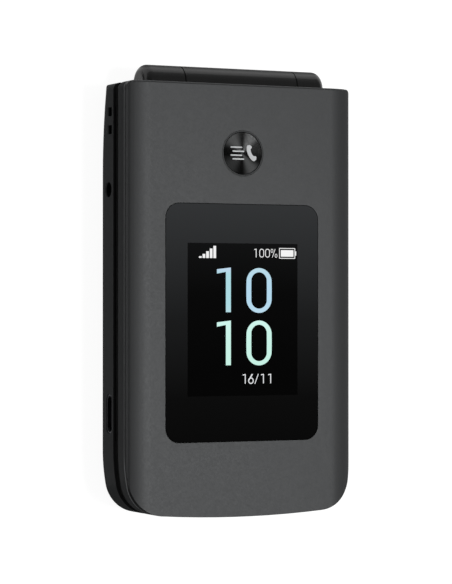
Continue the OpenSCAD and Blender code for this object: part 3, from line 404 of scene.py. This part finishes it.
# %% [markdown]
# ## Glass of the outer display
# The window is clear plastic printed black from behind, with the display bonded under it. Switched
# on, the display area is a deeper black than the print round it. The print is drawn as a mask of
# distances from the window's middle. Polishing leaves faint sleeks, which only change roughness.
#
# Both areas grow lighter towards the hinge. On real glass that is the soft reflection of a pale
# room, and here it is part of the colour, so it stays put when the light changes. A large pale
# card over the hinge would give a true one.

# %% Window glass
SCREEN, SCREEN_HALF = (0.05, -6.53), (14.2, 17.59)
INNER, INNER_HALF = (0, -3.95), (24.0, 33.2)
PRINT_EDGE = 0.12  # how soft the edge of the display area is, in millimetres
RAMP_HALF = 30     # the ramps run this far each way from the middle, in millimetres


def box_mask(f, x, y, half, soft):
    """1 inside a rectangle and 0 outside, with an edge of a width in millimetres."""
    return ((1 - f.soft_step(abs(x), half[0] - soft, half[0]))
            * (1 - f.soft_step(abs(y), half[1] - soft, half[1])))


def window_glass(name, centre, half, print_stops, screen_stops):
    f = Finish(name, Specular_IOR_Level=0.45)
    x, y = f.axes((*centre, 0))[:2]
    screen = box_mask(f, x, y, half, PRINT_EDGE)
    height = (y + RAMP_HALF) / (2 * RAMP_HALF)
    # On the outer window both ramps also carry a painted reflection that lightens towards the hinge.
    printed = f.add("ValToRGB", {"stops": print_stops}, height)
    lit_area = f.add("ValToRGB", {"stops": screen_stops}, height)
    f.feed("Base Color", f.mix(printed, lit_area, screen))
    sleek = f.noise(3, detail=4, stretch=(1, 0.15, 1))
    f.feed("Roughness", f.between(0.01, 0.02, sleek) + (1 - screen) * 0.003)
    f.feed("Normal", f.bump(f.noise(9, detail=1), 0.002, 0.4))
    return f


def even(level):
    """Stops of a ramp that is the same grey all along."""
    return [(0.0, grey(level)), (1.0, grey(level))]


# Both ramps lighten towards the hinge: a painted reflection over the black print and the dark
# display.
outer_print_reflection = [(0.0, grey(0.003)), (0.2, grey(0.0045)), (0.5, grey(0.0155, -0.04)),
               (1.0, grey(0.052, -0.05))]
outer_screen_reflection = [(0.3, grey(0.0016)), (0.6, grey(0.003)), (0.8, grey(0.008, -0.04))]
window_glass("outer_glass", SCREEN, SCREEN_HALF, outer_print_reflection, outer_screen_reflection)
window_glass("inner_glass", INNER, INNER_HALF, even(0.006), even(0.003))
print("window glass made")

# %% [markdown]
# ## Lit marks on the display
# Everything that the display shows is a set of thin plates that lie on the glass. A nought starts
# from a bmesh primitive and is two stadium rings bridged, and a one is a bar with a slanted flag.
# A text object could write them, but its font is wider than the narrow figures of such a display.
# The date and the row of signs over the time are drawn from the same few shapes.

# %% Plates and figures
GLASS_TOP = 17.795  # millimetres, just under the highest point of the lid
PLATE = 0.01        # thickness of a mark in millimetres
DOT = 0.35          # size of the uneven light of its dots in millimetres
ON_AXIS = 1e-9      # a coordinate smaller than this, in metres, is zero


def lit(name, low, high, stops):
    """Light of the display: a ramp of colours between two heights, polished like the glass."""
    f = Finish(name, Roughness=0.06, Specular_IOR_Level=0.45, Emission_Strength=1.0)
    y = f.axes()[1]
    dots = f.noise(DOT, detail=0)
    glow = f.add("ValToRGB", {"stops": stops}, (y - low) / (high - low))
    f.feed("Emission Color", f.mix(glow, (1, 1, 1), dots * 0.04))
    f.feed("Base Color", f.mix(grey(0.002), grey(0.004), dots))
    return f


def outline_ring(bm, centre, width, height, radius=None, segments=40):
    """Edge loop of a rectangle with round ends, from a circle whose quarters are moved apart."""
    radius = width / 2 if radius is None else radius
    made = bmesh.ops.create_circle(bm, segments=segments, radius=mm(radius))["verts"]
    for v in made:
        for axis, size in enumerate((width, height)):
            if abs(v.co[axis]) > ON_AXIS:
                v.co[axis] += math.copysign(mm(size / 2 - radius), v.co[axis])
        v.co += Vector(mm(*centre, 0))
    return list({e for v in made for e in v.link_edges})


def ring_of(bm, centre, outer, inner, radius=None, inner_radius=None):
    edges = (outline_ring(bm, centre, *outer, radius)
             + outline_ring(bm, centre, *inner, inner_radius))
    bmesh.ops.bridge_loops(bm, edges=edges)


def plate_of(bm, centre, size, radius=None):
    bmesh.ops.edgeloop_fill(bm, edges=outline_ring(bm, centre, *size, radius))


def polygon_of(bm, points):
    bm.faces.new([bm.verts.new(mm(*p, 0)) for p in points])


def stand_up(bm, level, thickness=PLATE):
    """Gives the flat shapes in a bmesh their thickness and their level."""
    bmesh.ops.recalc_face_normals(bm, faces=bm.faces)
    for f in bm.faces:
        if f.normal.z < 0:
            f.normal_flip()
    raised = bmesh.ops.extrude_face_region(bm, geom=bm.faces[:])["geom"]
    bmesh.ops.translate(bm, verts=[g for g in raised if isinstance(g, bmesh.types.BMVert)],
                        vec=mm(0, 0, thickness))
    bmesh.ops.translate(bm, verts=bm.verts, vec=mm(0, 0, level))
    bmesh.ops.recalc_face_normals(bm, faces=bm.faces)
    return bm


def one(bm, right, top, height, stem, reach, flag):
    """A figure one with its straight flag, from the right edge of its stem."""
    tip = top - 0.04 * height
    left = right - stem
    polygon_of(bm, [(right - reach, top - flag - 0.04 * height), (right - reach, tip), (right, top),
                    (right, top - height), (left, top - height), (left, top - flag)])


def nought(bm, left, top, height, width, stroke, thin=None):
    """A figure nought: two stadium rings bridged."""
    inner = (width - 2 * stroke, height - 2 * (thin or stroke))
    ring_of(bm, (left + width / 2, top - height / 2), (width, height), inner)


def six(bm, left, top, height, width, stroke):
    """A figure six: a low ring and a stroke that leans over it."""
    bowl = 0.6 * height
    nought(bm, left, top - height + bowl, bowl, width, stroke)
    foot = top - height + bowl / 2
    polygon_of(bm, [(left, foot), (left + stroke, foot),
                    (left + 0.9 * width, top - 0.1 * stroke), (left + 0.62 * width, top)])


def slash(bm, left, top, height, lean, stroke):
    polygon_of(bm, [(left, top - height), (left + stroke, top - height),
                    (left + stroke + lean, top), (left + lean, top)])


# %% [markdown]
# ## What the display shows
# The hour glows blue and the minutes green, each in a ramp of colours from the foot of the figures
# to their head. The signs are white: five bars, a charge of 100 percent, a battery and the date.
# The ramps are emission, because a display gives light of its own.

# %% Figures and signs
ONE = (10.26, 1.28, 3.56, 1.0)      # height, stem, reach of the flag, its thickness
NOUGHT = (10.36, 6.56, 1.26, 0.98)  # height, width, side stroke, top stroke
ONE_RIGHT, NOUGHT_LEFT = -3.1, 0.88
HOUR_ONE_TOP, HOUR_NOUGHT_TOP, MINUTE_TOP = 5.42, 5.36, -6.75

CYAN, PALE = (0.40, 0.70, 0.76), (0.50, 0.67, 0.83)
SKY, MINT = (0.44, 0.68, 0.84), (0.56, 0.88, 0.77)
cyan_light = lit("cyan_light", -5.1, 5.5,
                 [(0.0, (0.45, 0.69, 0.75)), (0.2, CYAN), (0.84, CYAN), (0.96, PALE)])
sky_light = lit("sky_light", -5.1, 5.5,
                [(0.0, (0.48, 0.70, 0.84)), (0.3, SKY), (0.6, SKY), (1.0, (0.48, 0.70, 0.80))])
mint_light = lit("mint_light", -17.3, -6.8,
                 [(0.0, MINT), (0.7, (0.58, 0.90, 0.80)), (1.0, (0.62, 0.92, 0.84))])
white_light = lit("white_light", -21, 10, [(0.0, grey(0.80, -0.02)), (1.0, grey(0.9))])


def status(bm):
    """Signal bars, the charge as a figure and the battery."""
    first_bar, bar_step, bar_width, bar_foot = -11.22, 0.915, 0.68, 7.55
    for i, height in enumerate((0.4, 0.93, 1.56, 2.18, 2.8)):
        left = first_bar + bar_step * i
        polygon_of(bm, [(left, bar_foot), (left + bar_width, bar_foot),
                        (left + bar_width, bar_foot + height), (left, bar_foot + height)])
    top, tall = 9.8, 2.0
    one(bm, 3.5, top, tall, 0.18, 0.55, 0.2)
    for left in (4.24, 5.74):
        nought(bm, left, top, tall, 1.22, 0.17)
    slash(bm, 7.5, top, tall, 0.78, 0.14)
    for left, dot_top in ((7.2, top), (8.26, 8.66)):
        nought(bm, left, dot_top, 0.86, 0.62, 0.12)
    battery = (11.47, 8.8)
    ring_of(bm, battery, (4.2, 2.46), (3.86, 2.14), 0.16, 0.06)
    plate_of(bm, battery, (3.3, 1.52), 0.08)
    plate_of(bm, (13.72, battery[1]), (0.24, 1.05), 0.1)


def date(bm):
    """The day and the month, as plain figures with a stroke between them."""
    top, tall, stroke = -19.08, 2.2, 0.22
    one(bm, 0.7, top, tall, stroke, 0.75, 0.24)
    six(bm, 1.35, top, tall, 1.4, stroke)
    slash(bm, 2.96, top, 2.3, 0.9, 0.2)
    for right in (5.4, 7.28):
        one(bm, right, top, tall, stroke, 0.75, 0.24)


def display_mark(name, finish, draw):
    bm = bmesh.new()
    draw(bm)
    piece(stand_up(bm, GLASS_TOP - PLATE), name, "lid", finish)


display_mark("hour_one", cyan_light, lambda bm: one(bm, ONE_RIGHT, HOUR_ONE_TOP, *ONE))
display_mark("hour_nought", sky_light, lambda bm: nought(bm, NOUGHT_LEFT, HOUR_NOUGHT_TOP, *NOUGHT))
display_mark("minute_one", mint_light, lambda bm: one(bm, ONE_RIGHT, MINUTE_TOP, *ONE))
display_mark("minute_nought", mint_light, lambda bm: nought(bm, NOUGHT_LEFT, MINUTE_TOP, *NOUGHT))
display_mark("status_marks", white_light, status)
display_mark("date_marks", white_light, date)
print("display lit")

# %% [markdown]
# ## Quick-dial button
# The button is a dished disc of dark metal, turned on a lathe. The tool leaves rings, and rings
# spread each highlight into a bright wedge. Here the wedges are part of the colour, a tone that
# follows the angle round the centre, with the rings as relief. That is a shortcut: they stay put
# when the light changes, and an anisotropic metal under well placed lamps would move them. The
# ring round the camera is made the same way.

# %% Turned metal
RING_RATE = 48  # how fast the rings follow each other, in radians for a millimetre
FAN_CORE = 4    # degrees each side of a fan's middle that are fully bright


def turned(name, centre, dark, wedges, roughness=0.3, **uniform):
    """Rings cut round a centre. wedges lists (degrees, half width, tone) of the bright fans."""
    f = Finish(name, **uniform)
    x, y = f.axes(centre)[:2]
    radius = (x * x + y * y) ** 0.5
    angle = f.maths("ARCTAN2", y, x) * (180 / math.pi)
    tone = dark
    for at, half, level in wedges:
        away = abs(f.maths("WRAP", angle - at, 180.0, -180.0))
        tone = (1 - f.soft_step(away, FAN_CORE, half)) * (level - dark) + tone
    rings = f.maths("SINE", radius * RING_RATE + f.noise(0.4) * 2)
    tone = tone * f.between(0.88, 1.12, f.noise(0.12)) * f.between(0.93, 1.07, rings)
    f.feed("Base Color", f.add("CombineColor", None, tone * 0.98, tone, tone * 1.01))
    f.feed("Roughness", f.between(roughness, roughness + 0.12, rings))
    f.feed("Normal", f.bump(rings, 0.002))
    return f


dial_middle = middle("quick_dial_button")[:2]
fans = [(129, 40, 0.1), (61, 32, 0.085), (-57, 35, 0.09), (-137, 40, 0.035)]
turned("dial_metal", (*dial_middle, 0), 0.001, fans, Metallic=0.1, Specular_IOR_Level=0.05)
paint("ring_metal", 0.05, Metallic=0.5, Specular_IOR_Level=0.1)
turned("lens_ring_metal", middle("camera_ring"), 0.08, [(45, 50, 0.2), (-135, 50, 0.2)], 0.22,
       Metallic=0.7)
mark_silver = paint("mark_silver", 0.62, flake=0.06, roughness=0.35)
print("turned metal made for a button at", [round(v, 2) for v in dial_middle])

# %% [markdown]
# ## Signs on the button
# The button carries four short bars and a telephone handset, printed in silver. The handset is a
# bar bent along an arc, with both ends swollen on the inner side. An S-curve gives the swelling, so
# that the waist runs into the ends without a corner, and part of a circle rounds off each tip.

# %% Handset and bars
def handset(bm, centre, radius, sweep, turn, waist, lobe, steps=20):
    """A telephone handset: a bar along an arc whose inner side swells near both ends."""
    swell_at, swell_rate, tip_length, least_half = 0.2, 34, 0.16, 0.02
    inner, outer = [], []
    for i in range(steps + 1):
        share = i / steps
        a, end = share * sweep, min(share, 1 - share)
        swell = 1 / (1 + math.exp((end - swell_at) * swell_rate)) * (lobe - waist)
        tip = math.sqrt(max(0.0, 1 - (1 - min(1, end / tip_length)) ** 2))
        middle_r = radius + waist / 2 - (waist + swell) / 2
        half = max((waist + swell) / 2 * tip, least_half)
        for side, r in ((inner, middle_r - half), (outer, middle_r + half)):
            side.append(bm.verts.new(mm(r * math.cos(a), r * math.sin(a), 0)))
    for i in range(steps):
        bm.faces.new([inner[i], outer[i], outer[i + 1], inner[i + 1]])
    bmesh.ops.rotate(bm, verts=inner + outer, cent=(0, 0, 0), matrix=Matrix.Rotation(turn, 3, "Z"))
    bmesh.ops.translate(bm, verts=inner + outer, vec=mm(*centre, 0))


SINK, DIAL_PLATE = 0.12, 0.1  # the dish is lower than its edge, and the signs lie in it
bm = bmesh.new()
handset(bm, (4.68, dial_middle[1] + 1.34), 3.2, math.radians(78), math.radians(168), 0.95, 1.4)
for i, y in enumerate((1.36, 0.44, -0.48, -1.34)):
    plate_of(bm, (-1.62 + 0.5 * (i % 2), dial_middle[1] + y), (3.0, 0.3), 0.14)
dial_top = 1000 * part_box("quick_dial_button")[1].z
piece(stand_up(bm, dial_top - SINK, DIAL_PLATE), "dial_mark", "quick_dial_button", mark_silver)
print("button marked")

# %% [markdown]
# ## Metals, boards and keys
# Screws, contacts and shields are seen only with the cover off, but they still get their own
# finish: brushed steel, copper alloy, green solder mask and foil. Brushing is noise drawn out along
# one direction. The keys are the black moulding again, in a lighter grey, a green and a red.

# %% Metals, boards and keys
def brushed(name, colour, roughness=0.28, stretch=(0.08, 1, 1)):
    f = Finish(name, Metallic=1.0)
    lines = f.noise(0.12, detail=3, stretch=stretch)
    f.feed("Base Color", f.mix(tuple(c * 0.8 for c in colour), colour, lines))
    f.feed("Roughness", f.between(roughness - 0.05, roughness + 0.15, lines))
    f.feed("Normal", f.bump(lines, 0.004))
    return f


def board(name):
    """Solder mask over tracks, which two waves that cross give."""
    f = Finish(name, Roughness=0.35)
    x, y = f.axes()[:2]
    tracks = f.soft_step(f.maths("SINE", (x + y) * 4) * f.maths("SINE", y * 3.1), 0.2, 0.4)
    f.feed("Base Color", f.mix((0.008, 0.07, 0.03), (0.02, 0.16, 0.07), tracks))
    f.feed("Normal", f.bump(tracks, 0.03))
    return f


def key_plastic(name, level=0.028):
    return moulded(name, level, 0.42, pit=0.12, Specular_IOR_Level=0.4)


def tinted(name, colour):
    f = key_plastic(name, 0.03)
    f.feed("Base Color", f.mix(tuple(c * 0.85 for c in colour), colour, f.noise(5)))
    return f


brushed("steel", (0.55, 0.56, 0.57))
brushed("copper", (0.72, 0.42, 0.22))
brushed("socket_steel", (0.10, 0.10, 0.11), 0.5)
brushed("foil", (0.62, 0.63, 0.64), 0.35, (1, 0.08, 1))
board("board_green")
brushed("dome_steel", (0.6, 0.6, 0.58), 0.25)
moulded("flash_clear", 0.6, 0.15, pit=0.5, depth=0.05, Transmission_Weight=0.3)
key_plastic("key_grey")
tinted("key_green", (0.02, 0.17, 0.055))
tinted("key_red", (0.3, 0.025, 0.02))
print("metals, boards and keys made")

# %% [markdown]
# ## Camera window
# Behind its small window a camera shows a black barrel, one or two thin bright rings and a dark
# pupil. The rings are a ramp over the distance from the middle, which costs no geometry.

# %% Camera window
LENS_RADIUS = 3.2


def lens(name, centre):
    """Dark glass with the rings of a lens under it."""
    f = Finish(name, Roughness=0.04, Coat_Weight=0.5)
    x, y = f.axes(centre)[:2]
    radius = (x * x + y * y) ** 0.5
    stops = [(0.0, (0.002, 0.002, 0.004)), (0.3, (0.004, 0.004, 0.012)),
             (0.34, (0.05, 0.05, 0.055)), (0.4, (0.006, 0.006, 0.007)),
             (0.62, (0.012, 0.012, 0.013)), (0.66, (0.04, 0.04, 0.042)),
             (0.7, (0.004, 0.004, 0.004)), (1.0, (0.004, 0.004, 0.004))]
    rings = f.add("ValToRGB", {"stops": stops}, radius / LENS_RADIUS)
    f.feed("Base Color", f.mix(rings, (0.01, 0.01, 0.012), f.noise(1.5) * 0.2))
    return f


lens("camera_glass", middle("camera_window"))
print(len(Finish.made), "finishes made so far")

# %% [markdown]
# ## Every piece gets its finish
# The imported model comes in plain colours. A table says which pieces are made of what, and whatever
# it doesn't name is a key in grey plastic.

# %% Give every node its finish
finishes = {
    "lid_paint": "lid_front_cover",
    "side_paint": "base_rear_housing rear_cover volume_rocker",
    "frame_paint": "lid_frame",
    "bezel_black": "base_front_housing lid_inner_housing",
    "outer_glass": "outer_window",
    "inner_glass": "inner_window inner_display outer_display",
    "camera_glass": "camera_window",
    "dial_metal": "quick_dial_button",
    "ring_metal": "quick_dial_ring",
    "lens_ring_metal": "camera_ring",
    "steel": "base_screws lid_screws hinge_cam_head hinge_bush hinge_cartridge vibration_motor "
             "volume_switches sim_holder earpiece_mesh",
    "dome_steel": "keypad_domes",
    "socket_steel": "usb_socket",
    "copper": "battery_contacts antenna hinge_flex",
    "board_green": "main_board lid_board",
    "socket_black": "headphone_socket camera_module loudspeaker earpiece microphone",
    "foil": "battery",
    "rubber_black": "lid_bumpers",
    "flash_clear": "flash_lens",
    "key_green": "call_key",
    "key_red": "end_key",
}
named = {node: finish for finish, names in finishes.items() for node in names.split()}
for name, obj in nodes.items():
    obj.data.materials.clear()
    obj.data.materials.append(Finish.made[named.get(name, "key_grey")].material)
print(len(named), "nodes named, the other", len(nodes) - len(named), "are keys")

# %% [markdown]
# ## Soften the shells
# Three pieces show their edges from the front. The cover gets a small round at the openings for
# the window and the button, a larger one at the hinge end and a middling one round the free end.
# The frame and the window get one each. The window must stay below the marks of the display, so
# its highest corners are lowered to their feet.

# %% Soften the shells
def inside_lid(at):
    """True over the window and the button, false at the rim of the cover."""
    return abs(at.x) < 22 and -40 < at.y < 42


soften("lid_front_cover", [(0.12, 2, lambda at, e: inside_lid(at) and rim(e)),
                           (0.8, 4, lambda at, e: at.y > 47.6 and at.z > 15.6),
                           (0.35, 3, lambda at, e: at.y < -40 and rim(e) and at.z > 17)])
soften("lid_frame", [(0.25, 2, lambda at, e: rim(e) and at.z > 15 and not inside_lid(at))])
glass = soften("outer_window", [(0.12, 2, lambda at, e: rim(e))], mirror_flat=True)
for v in glass.data.vertices:
    v.co.z = min(v.co.z, mm(GLASS_TOP - PLATE))

# %% [markdown]
# ## Key legends
# The legends are plain figures and signs printed on the crowns of the keys. A text object writes
# the figures, and the signs are built from plates. Each legend is cut into narrow strips across
# the crown and bent down to it, so that it lies on the curve.

# %% Legends
CROWN = 32.0            # radius of a key's crown in millimetres
STRIP, STRIPS = 0.4, 6  # width of a strip, and how many lie on each side of the middle
INK, INK_SINK = 0.03, 0.015
FIGURE_DROP = 0.36      # a text object stands on its line: this share of its size centres it
legend_white = paint("legend_white", 0.7, flake=0.05, roughness=0.4)


def figure(words, size=3.4):
    """A drawing of generic figures, written by a text object and centred."""
    def draw(bm):
        curve = bpy.data.curves.new("figures", "FONT")
        curve.body, curve.size, curve.align_x, curve.resolution_u = words, mm(size), "CENTER", 3
        obj = bpy.data.objects.new("figures", curve)
        scene.collection.objects.link(obj)
        mesh = final_mesh(obj)
        mesh.transform(Matrix.Translation(mm(0, -FIGURE_DROP * size, 0)))
        bm.from_mesh(mesh)
        bpy.data.objects.remove(obj)
        bpy.data.meshes.remove(mesh)
    return draw


def legend(key, draw):
    """Prints a drawing on a key. The navigation ring is flat, and every other key has a crown."""
    low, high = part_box(key)
    x, y = [500 * (low[i] + high[i]) for i in (0, 1)]
    bm = bmesh.new()
    draw(bm)
    for i in range(-STRIPS, STRIPS + 1):
        geom = bm.verts[:] + bm.edges[:] + bm.faces[:]
        bmesh.ops.bisect_plane(bm, geom=geom, plane_co=mm(0, STRIP * i, 0), plane_no=(0, 1, 0))
    stand_up(bm, 0, INK)
    for v in bm.verts:
        drop = 0 if key == "nav_ring" else CROWN - math.sqrt(CROWN ** 2 - (1000 * v.co.y) ** 2)
        v.co += Vector(mm(x, y, 1000 * high.z - drop - INK_SINK))
    piece(bm, key + "_legend", home[key], legend_white)


def dash(bm):
    plate_of(bm, (0, 0), (3.4, 0.5), 0.24)


def camera_mark(bm):
    ring_of(bm, (0, -0.15), (3.4, 2.2), (2.9, 1.7), 0.35, 0.2)
    plate_of(bm, (0, -0.15), (1.0, 1.0))
    plate_of(bm, (-0.8, 1.2), (0.9, 0.35), 0.1)


def envelope(bm):
    ring_of(bm, (0, 0), (3.4, 2.3), (2.95, 1.85), 0.2, 0.08)
    polygon_of(bm, [(-1.45, 0.85), (0, -0.35), (1.45, 0.85), (1.45, 0.5), (0, -0.7), (-1.45, 0.5)])


def back_arrow(bm):
    plate_of(bm, (0.3, 0), (2.6, 0.42), 0.2)
    polygon_of(bm, [(-1.7, 0), (-0.7, 0.85), (-0.7, -0.85)])


def call_mark(bm):
    handset(bm, (1.5, 0.9), 2.6, math.radians(80), math.radians(180), 0.7, 1.15)


def end_mark(bm):
    handset(bm, (0, -1.9), 2.6, math.radians(84), math.radians(48), 0.7, 1.15)


def nav_marks(bm):
    """Four small arrowheads, one to each side."""
    for turn in range(4):
        points = [(7.2, -0.6), (8.1, 0), (7.2, 0.6)]
        spot = Matrix.Rotation(math.radians(90 * turn), 2)
        polygon_of(bm, [tuple(spot @ Vector(p)) for p in points])


for digit in "1234567890":
    legend("key_" + digit, figure(digit))
legend("key_hash", figure("#"))
legend("key_star", figure("*", 4.5))
for key, draw in {"soft_left_key": dash, "soft_right_key": dash, "call_key": call_mark,
                  "end_key": end_mark, "camera_key": camera_mark, "message_key": envelope,
                  "back_key": back_arrow, "nav_ring": nav_marks}.items():
    legend(key, draw)
print("legends printed")

# %% [markdown]
# ## Floor
# The phone lies on a pale floor. A Light Path node makes it glow white for the camera, for gloss
# and through glass, while to the light that reaches the phone it is a plain grey. The world does
# the same. Each is an empty graph with its own output, so the Finish class is used without its
# shader.

# %% Floor
FLOOR_LEVEL = -0.02  # millimetres, so that no flat face of the phone lies in the floor's plane
FLOOR_GREY, FLOOR_GLOW = (0.25, 0.25, 0.25, 1), 0.92
WHITE = (1, 1, 1, 1)


def bare_finish(owner):
    """A Finish on the emptied graph of a material or a world."""
    owner.use_nodes = True
    f = Finish.__new__(Finish)
    f.tree = owner.node_tree
    f.tree.nodes.clear()
    return f


def shown(f):
    """1 for rays from the camera, from gloss and through glass, and 0 for all others."""
    rays = f.add("LightPath", None, out=("Is Camera Ray", "Is Glossy Ray", "Is Transmission Ray"))
    return f.maths("MINIMUM", rays[0] + rays[1] + rays[2], 1.0)


def stage_finish(obj, name):
    """A bare finish on a new material of a piece of the stage."""
    material = bpy.data.materials.new(name)
    obj.data.materials.append(material)
    return bare_finish(material)


bm = bmesh.new()
bmesh.ops.create_grid(bm, x_segments=1, y_segments=1, size=3)
bmesh.ops.translate(bm, verts=bm.verts, vec=mm(0, 0, FLOOR_LEVEL))
floor = in_scene(bm, "floor")
f = stage_finish(floor, "floor_white")
pale = f.add("BsdfDiffuse", None, FLOOR_GREY)
glow = f.add("Emission", None, WHITE, shown(f) * FLOOR_GLOW)
f.add("OutputMaterial", None, out=(), Surface=f.add("AddShader", None, pale, glow))
print("floor laid at", FLOOR_LEVEL, "mm")

# %% [markdown]
# ## World and lamp
# One broad lamp hangs over the phone, to its right, so the lid is brighter than the sides. A sun
# or a picture of a room could light it too, but one lamp and an even world are easier to steer.
# The world fills in from all around.

# %% World and lamp
FILL = 0.3  # strength of the world as a light; it is shown at 1
LAMP_PLACE, LAMP_SIZE, LAMP_POWER = (0.29, -0.06, 1.08), (0.2, 0.3), 5.5  # metres and watts

scene.view_settings.view_transform = "Standard"
scene.world = scene.world or bpy.data.worlds.new("world")
f = bare_finish(scene.world)
sky = f.add("Background", None, WHITE, f.between(FILL, 1.0, shown(f)))
f.add("OutputWorld", None, out=(), Surface=sky)

light = bpy.data.lights.new("key_lamp", "AREA")
light.shape = "RECTANGLE"
light.size, light.size_y = LAMP_SIZE
light.energy = LAMP_POWER
lamp = bpy.data.objects.new("key_lamp", light)
scene.collection.objects.link(lamp)
back = Vector(LAMP_PLACE).normalized()
side = Vector((0, 1, 0)).cross(back).normalized()
lamp.matrix_world = placed(LAMP_PLACE, side, back.cross(side), back)
print("lamp of", LAMP_POWER, "W over the phone")

# %% [markdown]
# ## Dark cards
# In a studio, black cards keep white surroundings out of a glossy surface. One hangs overhead and
# is what the window mirrors. Two more lie on the floor, at the left and at the free end, and only
# glossy rays see any of them. The two on the floor are a trick of this scene, not something that
# could lie there unseen: without them the low walls mirror the white floor as a bright line. They
# belong to the light and not to the phone, so under another light the walls look paler.

# %% Cards
CARD_LEVEL, CARD_REACH = 1.3, 4.5  # metres, like all sizes in this cell but the fade's
ON_FLOOR = 0.0002
FADE = (300, 2600)                 # where the overhead card grows paler, in millimetres along y
FREE_END_CARD = ((-0.09, -0.15), (0.09, -0.046))
LEFT_CARD = ((-0.06, -0.0459), (-0.0345, 0.06))


def sheet(bm, low, high, z):
    """A level rectangle between two corners, in metres."""
    made = bmesh.ops.create_grid(bm, x_segments=1, y_segments=1, size=0.5)["verts"]
    bmesh.ops.scale(bm, verts=made, vec=(high[0] - low[0], high[1] - low[1], 1))
    bmesh.ops.translate(bm, verts=made,
                        vec=((low[0] + high[0]) / 2, (low[1] + high[1]) / 2, z))


bm = bmesh.new()
sheet(bm, (-CARD_REACH, -CARD_REACH), (CARD_REACH, CARD_REACH), CARD_LEVEL)
sheet(bm, *FREE_END_CARD, ON_FLOOR)
sheet(bm, *LEFT_CARD, ON_FLOOR)
card = in_scene(bm, "dark_card")
card.visible_camera = card.visible_diffuse = False
card.visible_shadow = card.visible_transmission = False
f = stage_finish(card, "card_dark")
dim = f.add("Emission", None, WHITE, f.between(0.02, 0.2, f.soft_step(f.axes()[1], *FADE)))
f.add("OutputMaterial", None, out=(), Surface=dim)
print("lit")
